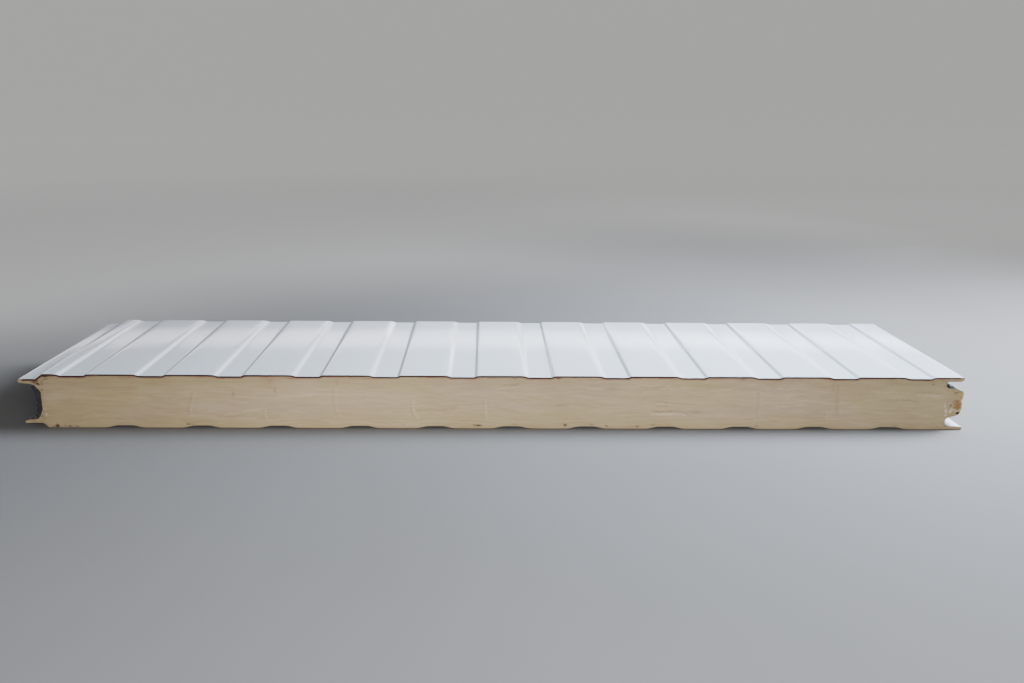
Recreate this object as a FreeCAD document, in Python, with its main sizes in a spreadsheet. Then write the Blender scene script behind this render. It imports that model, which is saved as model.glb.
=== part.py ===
import FreeCAD, Part
import os
import Sketcher

# Insulated sandwich wall panel, a 250 mm length of the 1000 mm cover, 60 mm
# thick type with a concealed tongue-and-groove joint.
#
# Frame: +X across the cover width, from the female (gasket) edge to the male
# (tongue) edge; +Y along the ribs; +Z up through the thickness, outer sheet on
# top.  The origin is the middle of the footprint, on the underside.

doc = FreeCAD.newDocument("sandwich_panel")

# --------------------------------------------------------------------------
# driving dimensions
# --------------------------------------------------------------------------
sheet = doc.addObject("Spreadsheet::Sheet", "dims")
sheet.Label = "dims"
row = [1]


class Q(object):
    """A length that knows its value and the sheet expression that gives it."""

    def __init__(self, v, e):
        self.v = float(v)
        self.e = e

    @staticmethod
    def of(x):
        return x if isinstance(x, Q) else Q(x, "%.6g mm" % x)

    def __add__(self, o):
        o = Q.of(o)
        return Q(self.v + o.v, "%s + %s" % (self.e, o.e))

    def __radd__(self, o):
        return Q.of(o) + self

    def __sub__(self, o):
        o = Q.of(o)
        return Q(self.v - o.v, "%s - (%s)" % (self.e, o.e))

    def __rsub__(self, o):
        return Q.of(o) - self

    def __neg__(self):
        return Q(-self.v, "-(%s)" % self.e)

    def __mul__(self, k):
        return Q(self.v * k, "(%s) * %.9g" % (self.e, k))

    __rmul__ = __mul__


def dim(alias, value, note):
    r = row[0]
    row[0] += 1
    sheet.set("A%d" % r, alias)
    sheet.set("B%d" % r, "%.6g" % value)
    sheet.set("C%d" % r, note)
    sheet.setAlias("B%d" % r, alias)
    return Q(value, "dims.%s * 1 mm" % alias)


def count(alias, value, note):
    r = row[0]
    row[0] += 1
    sheet.set("A%d" % r, alias)
    sheet.set("B%d" % r, "%d" % value)
    sheet.set("C%d" % r, note)
    sheet.setAlias("B%d" % r, alias)
    return value


# whole panel
cover = dim("cover_width", 1000.0, "module width, joint to joint")
length = dim("panel_length", 250.0, "cut length along the ribs")
thick = dim("panel_thickness", 60.0, "over both sheets")
gauge = dim("sheet_gauge", 0.5, "prepainted steel of both facings")
tip_l = dim("female_tip", -511.0, "tip of the female upper lip, from the middle")

# outer sheet: shallow wide ribs
pitch = dim("rib_pitch", 83.0, "outer sheet rib pitch")
ribs = count("rib_count", 12, "grooves in the outer sheet")
sheet.set("A%d" % row[0], "rib_repeat")
sheet.set("B%d" % row[0], "=rib_count - 1")
sheet.set("C%d" % row[0], "ribs before the one that carries the male edge")
sheet.setAlias("B%d" % row[0], "rib_repeat")
row[0] += 1
rib_x = dim("first_groove", -471.7, "start of the first groove of the outer sheet")
rib_rise = dim("groove_run_in", 6.2, "run of the gentle side of a groove")
rib_flat = dim("groove_flat", 23.6, "flat bottom of a groove")
rib_fall = dim("groove_run_out", 4.0, "run of the steep side of a groove")
rib_deep = dim("groove_depth", 1.6, "depth of a groove of the outer sheet")

# inner sheet: liner grooves in groups of three, four and four
lpitch = dim("liner_pitch", 82.1, "liner groove pitch within a group")
n1 = count("liner_group_one", 3, "grooves in the first liner group")
n2 = count("liner_group_two", 4, "grooves in the second liner group")
n3 = count("liner_group_three", 4, "grooves in the third liner group")
liner_x = dim("first_liner_groove", -421.1, "start of the first liner groove")
gap1 = dim("group_gap_one", 5.3, "extra flat between the first two groups")
gap2 = dim("group_gap_two", 4.3, "extra flat between the last two groups")
liner_run = dim("liner_run", 9.7, "run of each side of a liner groove")
liner_flat = dim("liner_flat", 18.2, "flat of a liner groove")
liner_deep = dim("liner_depth", 2.5, "depth of a liner groove")

# female edge, upper lip (outer sheet)
step_drop = dim("step_drop", 5.5, "drop from the face to the upper lip")
step_run = dim("step_run", 7.6, "run of the sloping step")
step_x = dim("step_foot", 18.5, "flat of the upper lip, tip to foot of step")
lip_chamf = dim("lip_nose", 1.2, "rounding of the lip's nose")
lip_nose = dim("lip_nose_flat", 1.8, "upright part of the lip's nose")
lip_under = dim("lip_under_drop", 1.1, "drop of the lip's nose to its underside")
under_run = dim("under_run", 12.7, "length of the lip's underside")
under_drop = dim("under_drop", 1.6, "fall of the lip's underside")
knee_run = dim("knee_run", 2.7, "bend from underside to return, run")
knee_drop = dim("knee_drop", 1.1, "bend from underside to return, drop")
ret_run = dim("return_run", 4.3, "steel return, run")
ret_drop = dim("return_drop", 4.6, "steel return, drop")

# female edge, recess wall (foam)
wall_x = dim("recess_depth", 23.0, "lip tip to the foam wall of the recess")
wall_top = dim("wall_top", 40.2, "top of the upright foam wall")
wall_low = dim("wall_low", 20.0, "foot of the upright foam wall")

# female edge, lower lip (inner sheet)
low_tip = dim("lower_tip", 3.1, "upper lip tip to lower lip tip")
low_under = dim("lower_under", 5.0, "height of the lower lip's underside")
low_nose = dim("lower_nose", 0.8, "rounding of the lower lip's nose")
low_nose_h = dim("lower_nose_flat", 1.4, "upright part of the lower nose")
low_ramp = dim("lower_ramp_rise", 1.0, "rise behind the lower nose")
low_step = dim("lower_step_run", 17.4, "flat of the lower lip's underside")
low_bend_x = dim("lower_bend_run", 1.2, "bend above the lower step, run")
low_bend_z = dim("lower_bend_drop", 0.5, "bend above the lower step, drop")
low_slope = dim("lower_slope_run", 5.1, "run of the lower step")

# male edge, upper lip and slot (outer sheet)
hem_back = dim("hem_setback", 0.4, "female tip to the root of the upper slot")
hem_x = dim("hem_reach", 19.2, "root of the upper slot to the lip's nose")
hem_z = dim("hem_thickness", 4.9, "thickness of the male upper lip")
slot_floor = dim("slot_floor", 12.3, "face to the top of the tongue")
tongue_flat = dim("tongue_flat", 6.5, "flat part of the tongue's top")
tongue_run = dim("tongue_run", 9.0, "sloping part of the tongue's top, run")
tongue_drop = dim("tongue_drop", 3.1, "sloping part of the tongue's top, drop")

# male edge, foam tongue
nib = dim("tongue_nib", 1.5, "foam standing out past the tongue's steel")
nib_top = dim("tongue_nib_top", 42.0, "top of the tongue's upright face")
nib_low = dim("tongue_nib_low", 24.0, "foot of the tongue's upright face")

# male edge, lower lip and slot (inner sheet)
mtip = dim("male_tip", 511.0, "tip of the male lower lip, from the middle")
root_x = dim("lower_root", 19.6, "lower lip tip to the root of the lower slot")
mlip = dim("male_lip_height", 3.5, "thickness of the lower lip at its nose")
mlip_in = dim("male_lip_inner", 4.3, "thickness of the lower lip at the slot")
root_top = dim("root_top", 11.0, "top of the upright slot root")
mret = dim("male_return", 5.5, "steel return under the tongue, run")
mret_up = dim("male_return_rise", 3.8, "steel return under the tongue, rise")

# gasket
gas = dim("gasket_thickness", 6.0, "gasket off the foam wall")

doc.recompute()

# --------------------------------------------------------------------------
# helpers
# --------------------------------------------------------------------------


def new_body(name):
    body = doc.addObject("PartDesign::Body", name)
    body.Label = name
    return body


def origin_item(body, role):
    for f in body.Origin.OriginFeatures:
        if f.Role == role:
            return f
    raise RuntimeError("no " + role)


def new_sketch(body, name):
    sk = body.newObject("Sketcher::SketchObject", name)
    sk.AttachmentSupport = [(origin_item(body, "XZ_Plane"), "")]
    sk.MapMode = "FlatFace"
    return sk


def vec(p):
    return FreeCAD.Vector(p[0].v, p[1].v, 0)


def pin(sk, geo, pos, p):
    """Place one end of a line from the sketch origin by two driven lengths."""
    for kind, q in (("DistanceX", p[0]), ("DistanceY", p[1])):
        c = sk.addConstraint(Sketcher.Constraint(kind, -1, 1, geo, pos, q.v))
        sk.setExpression("Constraints[%d]" % c, q.e)


def chain(sk, pts, construction=False):
    """Joined lines through pinned points; returns their indices."""
    ids = []
    for a, b in zip(pts[:-1], pts[1:]):
        g = sk.addGeometry(Part.LineSegment(vec(a), vec(b)), construction)
        if ids:
            sk.addConstraint(Sketcher.Constraint("Coincident", ids[-1], 2, g, 1))
        pin(sk, g, 1, a)
        ids.append(g)
    pin(sk, ids[-1], 2, pts[-1])
    return ids


def mitre(pts, t):
    """Corner points of the line that runs t to the left of the given one."""
    v = [FreeCAD.Vector(p[0].v, p[1].v, 0) for p in pts]
    d = [(b - a).normalize() for a, b in zip(v[:-1], v[1:])]
    n = [FreeCAD.Vector(-u.y, u.x, 0) for u in d]
    out = [v[0] + n[0] * t]
    for i in range(1, len(v) - 1):
        m = n[i - 1] + n[i]
        out.append(v[i] + m * (t / (1.0 + n[i - 1].dot(n[i]))))
    out.append(v[-1] + n[-1] * t)
    return out


def parallel_chain(sk, base, pts, side):
    """Lines at one sheet gauge beside the given chain.

    side is +1 for the left of the direction of travel, -1 for the right.
    """
    corners = mitre(pts, side * gauge.v)
    ids = []
    for i, g0 in enumerate(base):
        g = sk.addGeometry(Part.LineSegment(corners[i], corners[i + 1]), False)
        if ids:
            sk.addConstraint(Sketcher.Constraint("Coincident", ids[-1], 2, g, 1))
        sk.addConstraint(Sketcher.Constraint("Parallel", g0, g))
        c = sk.addConstraint(Sketcher.Constraint("Distance", g, 1, g0, gauge.v))
        sk.setExpression("Constraints[%d]" % c, gauge.e)
        ids.append(g)
    return ids, corners


def cap(sk, g0, p0, g1, p1, line, a, b):
    """Square end between the two faces of a sheet."""
    g = sk.addGeometry(Part.LineSegment(a, b), False)
    sk.addConstraint(Sketcher.Constraint("Coincident", g, 1, g0, p0))
    sk.addConstraint(Sketcher.Constraint("Coincident", g, 2, g1, p1))
    sk.addConstraint(Sketcher.Constraint("Perpendicular", g, line))
    return g


def sheet_section(sk, pts, side):
    """Closed section of a folded sheet whose exposed face runs through pts."""
    base = chain(sk, pts)
    ids, c = parallel_chain(sk, base, pts, side)
    cap(sk, base[0], 1, ids[0], 1, base[0], vec(pts[0]), c[0])
    cap(sk, base[-1], 2, ids[-1], 2, base[-1], vec(pts[-1]), c[-1])
    return base


def closed(sk, pts):
    ids = chain(sk, pts)
    g = sk.addGeometry(Part.LineSegment(vec(pts[-1]), vec(pts[0])), False)
    sk.addConstraint(Sketcher.Constraint("Coincident", ids[-1], 2, g, 1))
    sk.addConstraint(Sketcher.Constraint("Coincident", g, 2, ids[0], 1))
    return ids + [g]


def pad(body, sk, name):
    doc.recompute()
    p = body.newObject("PartDesign::Pad", name)
    p.Profile = (sk, [""])
    p.Type = "Length"
    p.SideType = "Symmetric"
    p.setExpression("Length", length.e)
    p.Refine = True
    sk.Visibility = False
    doc.recompute()
    if not sk.FullyConstrained:
        raise RuntimeError(sk.Name + " is not fully constrained")
    return p


def pocket(body, sk, name):
    doc.recompute()
    before = body.Shape.Volume
    p = body.newObject("PartDesign::Pocket", name)
    p.Profile = (sk, [""])
    p.Type = "Length"
    p.SideType = "Symmetric"
    p.setExpression("Length", "(%s) + 2 mm" % length.e)
    p.Refine = True
    sk.Visibility = False
    body.Tip = p
    doc.recompute()
    if not sk.FullyConstrained:
        raise RuntimeError(sk.Name + " is not fully constrained")
    if not p.Shape.Volume < before - 1.0:
        raise RuntimeError(name + " cut nothing")
    return p


def along_x(body, feature, name, n_alias, step):
    lp = body.newObject("PartDesign::LinearPattern", name)
    lp.Originals = [feature]
    lp.Direction = (origin_item(body, "X_Axis"), [""])
    lp.setExpression("Occurrences", "dims.%s" % n_alias)
    lp.setExpression("Length", "(dims.%s - 1) * (%s)" % (n_alias, step.e))
    lp.Refine = True
    body.Tip = lp
    doc.recompute()
    return lp


def groove(x, run_a, flat, run_b, deep, face, sign):
    """Exposed corner points of a groove that starts at x on a face."""
    return [(x, face), (x + run_a, face + deep * sign),
            (x + run_a + flat, face + deep * sign),
            (x + run_a + flat + run_b, face)]


# --------------------------------------------------------------------------
# exposed faces of both sheets
# --------------------------------------------------------------------------
zero = Q(0.0, "0 mm")

# female edge of the outer sheet, from the end of the steel return, round the
# upper lip's nose and up the step to the face
z_lip = thick - step_drop
u6 = (tip_l + lip_chamf, z_lip)
u5 = (tip_l, z_lip - lip_chamf)
u4 = (tip_l, z_lip - lip_chamf - lip_nose)
u3 = (tip_l + lip_chamf, z_lip - lip_chamf - lip_nose - lip_under)
u2 = (u3[0] + under_run, u3[1] - under_drop)
u1 = (u2[0] + knee_run, u2[1] - knee_drop)
u0 = (u1[0] + ret_run, u1[1] - ret_drop)
u7 = (tip_l + step_x, z_lip)
u8 = (tip_l + step_x + step_run, thick)
female_upper = [u0, u1, u2, u3, u4, u5, u6, u7, u8]

# male edge of the outer sheet, from the face round the upper lip's nose, back
# to the root of the slot and out along the top of the tongue
rx = tip_l + cover - hem_back - 0.3
nx = rx + hem_x
v4 = (nx - 1.1, thick)
v5 = (nx, thick - 1.0)
v6 = (nx - 0.3, thick - 2.6)
v7 = (nx - 1.7, thick - 4.2)
v8 = (nx - 3.7, thick - hem_z)
v9 = (rx + 2.6, thick - hem_z)
v10 = (rx + 0.8, thick - hem_z - 0.7)
v11 = (rx, thick - hem_z - 2.3)
v12 = (rx + 0.2, thick - slot_floor + 2.5)
v13 = (rx + 1.5, thick - slot_floor + 0.5)
v14 = (rx + 3.2, thick - slot_floor)
v15 = (v14[0] + tongue_flat, thick - slot_floor)
v16 = (v15[0] + tongue_run, v15[1] - tongue_drop)
male_upper = [v4, v5, v6, v7, v8, v9, v10, v11, v12, v13, v14, v15, v16]

# female edge of the inner sheet, from the end of its return, round the lower
# lip's nose, along its underside and down the step to the bottom face
lx = tip_l + low_tip
z_top = low_under + low_nose + low_nose_h + low_ramp
s6 = (lx + low_nose, low_under)
s5 = (lx, low_under + low_nose)
s4 = (lx, low_under + low_nose + low_nose_h)
s3 = (lx + low_nose, z_top)
s2 = (lx + 3.9, z_top + 0.9)
s1 = (lx + 9.9, z_top + 1.4)
s0 = (lx + 14.9, z_top + 2.4)
s7 = (s6[0] + low_step, low_under)
s8 = (s7[0] + low_bend_x, low_under - low_bend_z)
s9 = (s8[0] + low_slope, zero)
female_lower = [s0, s1, s2, s3, s4, s5, s6, s7, s8, s9]

# male edge of the inner sheet, from the bottom face round the lower lip's
# nose, back to the root of the slot and up under the tongue
qx = mtip - root_x
t0 = (mtip - 1.2, zero)
t1 = (mtip, zero + 1.0)
t2 = (mtip, mlip - 0.9)
t3 = (mtip - 0.9, mlip)
t4 = (mtip - 11.0, mlip + 0.5)
t5 = (qx + 3.1, mlip_in)
t6 = (qx + 1.1, mlip_in + 0.3)
t7 = (qx, mlip_in + 1.9)
t8 = (qx, root_top)
t9 = (qx + 1.0, root_top + 1.6)
t10 = (qx + 2.8, root_top + 2.8)
t11 = (qx + mret, root_top + mret_up)
male_lower = [t0, t1, t2, t3, t4, t5, t6, t7, t8, t9, t10, t11]

# --------------------------------------------------------------------------
# outer sheet
# --------------------------------------------------------------------------
outer = new_body("outer_sheet")

sk = new_sketch(outer, "outer_female_edge")
sheet_section(sk, female_upper + [(rib_x, thick)], -1)
pad(outer, sk, "outer_female_edge_pad")

sk = new_sketch(outer, "outer_rib")
sheet_section(sk, groove(rib_x, rib_rise, rib_flat, rib_fall, rib_deep,
                         thick, -1) + [(rib_x + pitch, thick)], -1)
rib_pad = pad(outer, sk, "outer_rib_pad")
along_x(outer, rib_pad, "outer_ribs", "rib_repeat", pitch)

last_x = rib_x + pitch * (ribs - 1)
last_x = Q(last_x.v, "dims.first_groove * 1 mm + dims.rib_repeat * dims.rib_pitch * 1 mm")
sk = new_sketch(outer, "outer_male_edge")
sheet_section(sk, groove(last_x, rib_rise, rib_flat, rib_fall, rib_deep,
                         thick, -1) + male_upper, -1)
pad(outer, sk, "outer_male_edge_pad")

# --------------------------------------------------------------------------
# inner sheet
# --------------------------------------------------------------------------
inner = new_body("inner_sheet")

sk = new_sketch(inner, "liner_female_edge")
sheet_section(sk, female_lower + [(liner_x, zero)], 1)
pad(inner, sk, "liner_female_edge_pad")


def liner_rib(x, name):
    s = new_sketch(inner, name)
    sheet_section(s, groove(x, liner_run, liner_flat, liner_run, liner_deep,
                            zero, 1) + [(x + lpitch, zero)], 1)
    return pad(inner, s, name + "_pad")


def liner_flat_strip(x, wide, name):
    s = new_sketch(inner, name)
    sheet_section(s, [(x, zero), (x + wide, zero)], 1)
    return pad(inner, s, name + "_pad")


x1 = liner_x
along_x(inner, liner_rib(x1, "liner_rib_one"), "liner_ribs_one",
        "liner_group_one", lpitch)
x1e = Q(x1.v + n1 * lpitch.v, "%s + dims.liner_group_one * dims.liner_pitch * 1 mm" % x1.e)
liner_flat_strip(x1e, gap1, "liner_flat_one")
x2 = x1e + gap1
along_x(inner, liner_rib(x2, "liner_rib_two"), "liner_ribs_two",
        "liner_group_two", lpitch)
x2e = Q(x2.v + n2 * lpitch.v, "%s + dims.liner_group_two * dims.liner_pitch * 1 mm" % x2.e)
liner_flat_strip(x2e, gap2, "liner_flat_two")
x3 = x2e + gap2
along_x(inner, liner_rib(x3, "liner_rib_three"), "liner_ribs_three",
        "liner_group_three", lpitch)
x3e = Q(x3.v + n3 * lpitch.v, "%s + dims.liner_group_three * dims.liner_pitch * 1 mm" % x3.e)

sk = new_sketch(inner, "liner_male_edge")
sheet_section(sk, [(x3e, zero)] + male_lower, 1)
pad(inner, sk, "liner_male_edge_pad")

# --------------------------------------------------------------------------
# foam core: fills everything between the two sheets
# --------------------------------------------------------------------------
foam = new_body("foam_core")
sk = new_sketch(foam, "core_outline")

# exposed faces of the sheets as construction lines, foam one gauge inside
top_pts = female_upper + male_upper
top_base = chain(sk, top_pts, True)
top_ids, top_c = parallel_chain(sk, top_base, top_pts, -1)
bot_pts = female_lower + male_lower
bot_base = chain(sk, bot_pts, True)
bot_ids, bot_c = parallel_chain(sk, bot_base, bot_pts, 1)

# square ends of the steel, let into the foam
cap(sk, top_base[0], 1, top_ids[0], 1, top_base[0], vec(top_pts[0]), top_c[0])
cap(sk, top_base[-1], 2, top_ids[-1], 2, top_base[-1], vec(top_pts[-1]), top_c[-1])
cap(sk, bot_base[0], 1, bot_ids[0], 1, bot_base[0], vec(bot_pts[0]), bot_c[0])
cap(sk, bot_base[-1], 2, bot_ids[-1], 2, bot_base[-1], vec(bot_pts[-1]), bot_c[-1])

# recess wall between the two female lips
wx = tip_l + wall_x
f_wall = [u0, (wx, wall_top), (wx, wall_low), (wx - 1.0, wall_low - 2.0),
          (wx - 2.5, wall_low - 6.0), s0]
# face of the tongue between the two male steels
tx = v16[0] + nib
f_nib = [v16, (tx - 0.6, nib_top + 1.4), (tx, nib_top), (tx, nib_low),
         (tx - 1.1, nib_low - 3.4), (tx - 2.9, nib_low - 6.3), (tx - 8.1, nib_low - 8.7), t11]
for pts, ga, pa, gb, pb in ((f_wall, top_base[0], 1, bot_base[0], 1),
                            (f_nib, top_base[-1], 2, bot_base[-1], 2)):
    prev = None
    for i, (a, b) in enumerate(zip(pts[:-1], pts[1:])):
        g = sk.addGeometry(Part.LineSegment(vec(a), vec(b)), False)
        if prev is None:
            sk.addConstraint(Sketcher.Constraint("Coincident", g, 1, ga, pa))
        else:
            sk.addConstraint(Sketcher.Constraint("Coincident", prev, 2, g, 1))
            pin(sk, g, 1, a)
        prev = g
    sk.addConstraint(Sketcher.Constraint("Coincident", prev, 2, gb, pb))
pad(foam, sk, "core_pad")


def foam_corners(pts, t, level):
    """Offset line ended on the foam's flat face instead of square."""
    c = mitre(pts, t)
    for i, j in ((0, 1), (-1, -2)):
        u = c[i] - c[j]
        k = (level - c[j].y) / u.y
        c[i] = c[j] + u * k
    return c


def foam_groove(name, pts, side, top, n_alias, step):
    """Hollow that the inner face of one groove leaves in the foam."""
    s = new_sketch(foam, name)
    base = chain(s, pts, True)
    level = thick - gauge if top else zero + gauge
    c = foam_corners(pts, side * gauge.v, level.v)
    ids = []
    for i, g0 in enumerate(base):
        g = s.addGeometry(Part.LineSegment(c[i], c[i + 1]), False)
        if ids:
            s.addConstraint(Sketcher.Constraint("Coincident", ids[-1], 2, g, 1))
        s.addConstraint(Sketcher.Constraint("Parallel", g0, g))
        k = s.addConstraint(Sketcher.Constraint("Distance", g, 1 if i else 2, g0, gauge.v))
        s.setExpression("Constraints[%d]" % k, gauge.e)
        ids.append(g)
    a = s.addGeometry(Part.LineSegment(c[-1], c[0]), False)
    s.addConstraint(Sketcher.Constraint("Coincident", a, 1, ids[-1], 2))
    s.addConstraint(Sketcher.Constraint("Coincident", a, 2, ids[0], 1))
    s.addConstraint(Sketcher.Constraint("Horizontal", a))
    k = s.addConstraint(Sketcher.Constraint("DistanceY", -1, 1, a, 1, level.v))
    s.setExpression("Constraints[%d]" % k, level.e)
    p = pocket(foam, s, name + "_pocket")
    return along_x(foam, p, name + "s", n_alias, step)


foam_groove("core_rib", groove(rib_x, rib_rise, rib_flat, rib_fall,
                                   rib_deep, thick, -1), -1, True,
                "rib_count", pitch)
for x, tag, alias in ((x1, "one", "liner_group_one"),
                      (x2, "two", "liner_group_two"),
                      (x3, "three", "liner_group_three")):
    foam_groove("core_liner_" + tag,
                    groove(x, liner_run, liner_flat, liner_run, liner_deep,
                           zero, 1), 1, False, alias, lpitch)

# --------------------------------------------------------------------------
# joint gasket: foam strip stuck to the recess wall, tucked under the return
# --------------------------------------------------------------------------
gasket = new_body("joint_gasket")
sk = new_sketch(gasket, "gasket_section")
gx = wx - gas
closed(sk, [u0, (wx, wall_top), (wx, wall_low), (wx - 1.0, wall_low - 2.0),
            (wx - 2.5, wall_low - 6.0), s0,
            (gx - 1.1, wall_low - 8.0), (gx - 1.0, wall_low - 4.5),
            (gx - 0.3, wall_low + 1.0), (gx, wall_low + 10.0),
            (gx - 0.4, wall_low + 15.0), (gx - 1.4, wall_low + 20.0),
            (gx - 3.0, wall_low + 23.3), (gx - 3.7, wall_low + 25.6),
            (gx - 2.6, wall_low + 27.3), u1])
pad(gasket, sk, "gasket_pad")

doc.recompute()

# --------------------------------------------------------------------------
# check and write
# --------------------------------------------------------------------------
bad = [o.Name for o in doc.Objects
       if "Invalid" in o.State or "Error" in o.State]
if bad:
    raise RuntimeError("failed objects: " + ", ".join(bad))

nodes = [outer, inner, foam, gasket]
for n in nodes:
    s = n.Shape
    if s.isNull() or not s.isValid() or len(s.Solids) != 1:
        raise RuntimeError("bad shape: %s (%d solids)" % (n.Label, len(s.Solids)))

os.makedirs("parts", exist_ok=True)
for n in nodes:
    n.Shape.exportStep(os.path.join("parts", n.Label + ".step"))
    b = n.Shape.BoundBox
    print("%-14s %8.1f cm3  faces %3d  x %.2f..%.2f  y %.1f..%.1f  z %.2f..%.2f" % (
        n.Label, n.Shape.Volume / 1000.0, len(n.Shape.Faces),
        b.XMin, b.XMax, b.YMin, b.YMax, b.ZMin, b.ZMax))
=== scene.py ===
import math
import bpy
import numpy as np
from mathutils import Matrix, Vector
from mathutils.kdtree import KDTree
from mathutils.geometry import delaunay_2d_cdt


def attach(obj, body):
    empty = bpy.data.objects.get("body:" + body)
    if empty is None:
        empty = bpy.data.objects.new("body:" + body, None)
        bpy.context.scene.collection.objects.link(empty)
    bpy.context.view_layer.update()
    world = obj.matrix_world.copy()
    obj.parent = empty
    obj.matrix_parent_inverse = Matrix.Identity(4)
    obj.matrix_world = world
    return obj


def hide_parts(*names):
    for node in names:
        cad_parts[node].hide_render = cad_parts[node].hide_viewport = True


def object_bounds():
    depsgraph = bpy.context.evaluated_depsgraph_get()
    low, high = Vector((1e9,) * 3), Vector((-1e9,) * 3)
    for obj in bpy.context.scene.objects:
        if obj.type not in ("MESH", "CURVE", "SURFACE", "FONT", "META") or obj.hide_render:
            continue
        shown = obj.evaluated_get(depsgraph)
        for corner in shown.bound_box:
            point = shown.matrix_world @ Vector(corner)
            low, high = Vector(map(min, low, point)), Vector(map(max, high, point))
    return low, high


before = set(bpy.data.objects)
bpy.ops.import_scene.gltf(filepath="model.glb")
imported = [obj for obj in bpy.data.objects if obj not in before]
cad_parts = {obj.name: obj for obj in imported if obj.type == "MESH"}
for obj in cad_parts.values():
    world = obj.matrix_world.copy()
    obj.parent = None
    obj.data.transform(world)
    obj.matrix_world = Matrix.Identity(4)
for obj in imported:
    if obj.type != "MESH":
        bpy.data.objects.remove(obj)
cad_lo, cad_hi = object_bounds()

# Everything below is drawn in millimetres and scaled to metres when a mesh is made.
MM = 0.001
Y0, Y1 = cad_lo.y * 1000.0, cad_hi.y * 1000.0          # the two cut ends
XMIN, XMAX = cad_lo.x * 1000.0, cad_hi.x * 1000.0
TOP = cad_hi.z * 1000.0
GAUGE = 0.5                                             # sheet thickness

# ------------------------------------------------------------------ the section, as in the frame
FEMALE_UP = [(-490.1, 43.1), (-494.4, 47.7), (-497.1, 48.8), (-509.8, 50.4), (-511.0, 51.5),
             (-511.0, 53.3), (-509.8, 54.5), (-492.5, 54.5), (-484.9, 60.0)]
MALE_UP = [(506.4, 60.0), (507.5, 59.0), (507.2, 57.4), (505.8, 55.8), (503.8, 55.1),
           (490.9, 55.1), (489.1, 54.4), (488.3, 52.8), (488.5, 50.2), (489.8, 48.2),
           (491.5, 47.7), (498.0, 47.7), (507.0, 44.6)]
FEMALE_LOW = [(-493.0, 10.6), (-498.0, 9.6), (-504.0, 9.1), (-507.1, 8.2), (-507.9, 7.2),
              (-507.9, 5.8), (-507.1, 5.0), (-489.7, 5.0), (-488.5, 4.5), (-483.4, 0.0)]
MALE_LOW = [(509.8, 0.0), (511.0, 1.0), (511.0, 2.6), (510.1, 3.5), (500.0, 4.0), (494.5, 4.3),
            (492.5, 4.6), (491.4, 6.2), (491.4, 11.0), (492.4, 12.6), (494.2, 13.8), (496.9, 14.8)]
WALL = [(-490.1, 43.1), (-488.0, 40.2), (-488.0, 20.0), (-489.0, 18.0), (-490.5, 14.0), (-493.0, 10.6)]
NIB = [(507.0, 44.6), (507.9, 43.4), (508.5, 42.0), (508.5, 24.0), (507.4, 20.6), (505.6, 17.7), (500.4, 15.3), (496.9, 14.8)]
GASKET = [(-490.1, 43.1), (-488.0, 40.2), (-488.0, 20.0), (-489.0, 18.0), (-490.5, 14.0), (-493.0, 10.6),
          (-495.1, 12.0), (-495.0, 15.5), (-494.3, 21.0), (-494.0, 30.0), (-494.4, 35.0), (-495.4, 40.0),
          (-497.0, 43.3), (-497.7, 45.6), (-496.6, 47.3), (-494.4, 47.7)]
PITCH, FIRST = 83.0, -468.1                              # outer grooves
# one pitch of the outer facing: distance from the groove's edge, depth below the top
GROOVE = [(-14, 0), (-12, -.004), (-8, -.02), (-5, -.085), (-3.2, -.21), (-2, -.40), (-1, -.69), (0, -1.0),
          (1, -1.3), (2, -1.5), (3, -1.58), (4.5, -1.6), (15, -1.6), (25, -1.6), (26.2, -1.55), (27.2, -1.3),
          (28.2, -.85), (29.2, -.42), (30.2, -.14), (31.5, -.05), (34, -.012), (38, 0), (43, 0), (62, 0),
          (66, 0), (69, 0)]
LINER = [-421.1 + 82.1 * j for j in range(3)] + [-169.5 + 82.1 * j for j in range(4)] + \
        [163.2 + 82.1 * j for j in range(4)]             # liner grooves, left edges


# ------------------------------------------------------------------ noise, seeded and repeatable
def _hash(ix, iy, iz, seed):
    m = np.uint64(0xffffffff)
    n = (ix.astype(np.int64) * 374761393 + iy.astype(np.int64) * 668265263
         + iz.astype(np.int64) * 1274126177 + seed * 974634777) & 0xffffffff
    n = n.astype(np.uint64)
    n ^= n >> np.uint64(13)
    n = (n * np.uint64(1274126177)) & m
    n ^= n >> np.uint64(16)
    n = (n * np.uint64(2246822519)) & m
    n ^= n >> np.uint64(13)
    return n


def gnoise(x, y, z, seed=0):
    x, y, z = np.broadcast_arrays(np.asarray(x, float), np.asarray(y, float), np.asarray(z, float))
    ix, iy, iz = np.floor(x), np.floor(y), np.floor(z)
    fx, fy, fz = x - ix, y - iy, z - iz
    u, v, w = (t * t * t * (t * (t * 6 - 15) + 10) for t in (fx, fy, fz))
    total = 0.0
    for cx in (0, 1):
        for cy in (0, 1):
            for cz in (0, 1):
                n = _hash(ix + cx, iy + cy, iz + cz, seed)
                gx = (n & np.uint64(1023)).astype(float) / 511.5 - 1
                gy = ((n >> np.uint64(10)) & np.uint64(1023)).astype(float) / 511.5 - 1
                gz = ((n >> np.uint64(20)) & np.uint64(1023)).astype(float) / 511.5 - 1
                d = gx * (fx - cx) + gy * (fy - cy) + gz * (fz - cz)
                total = total + d * (u if cx else 1 - u) * (v if cy else 1 - v) * (w if cz else 1 - w)
    return total * 1.6


def fbm(x, y, z, seed=0, octaves=3, gain=0.5):
    s, a, f = 0.0, 1.0, 1.0
    for k in range(octaves):
        s = s + a * gnoise(np.asarray(x) * f, np.asarray(y) * f, np.asarray(z) * f, seed + 17 * k)
        a *= gain
        f *= 2.03
    return s


def smooth(e0, e1, v):
    t = np.clip((np.asarray(v, float) - e0) / (e1 - e0), 0, 1)
    return t * t * (3 - 2 * t)


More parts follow.
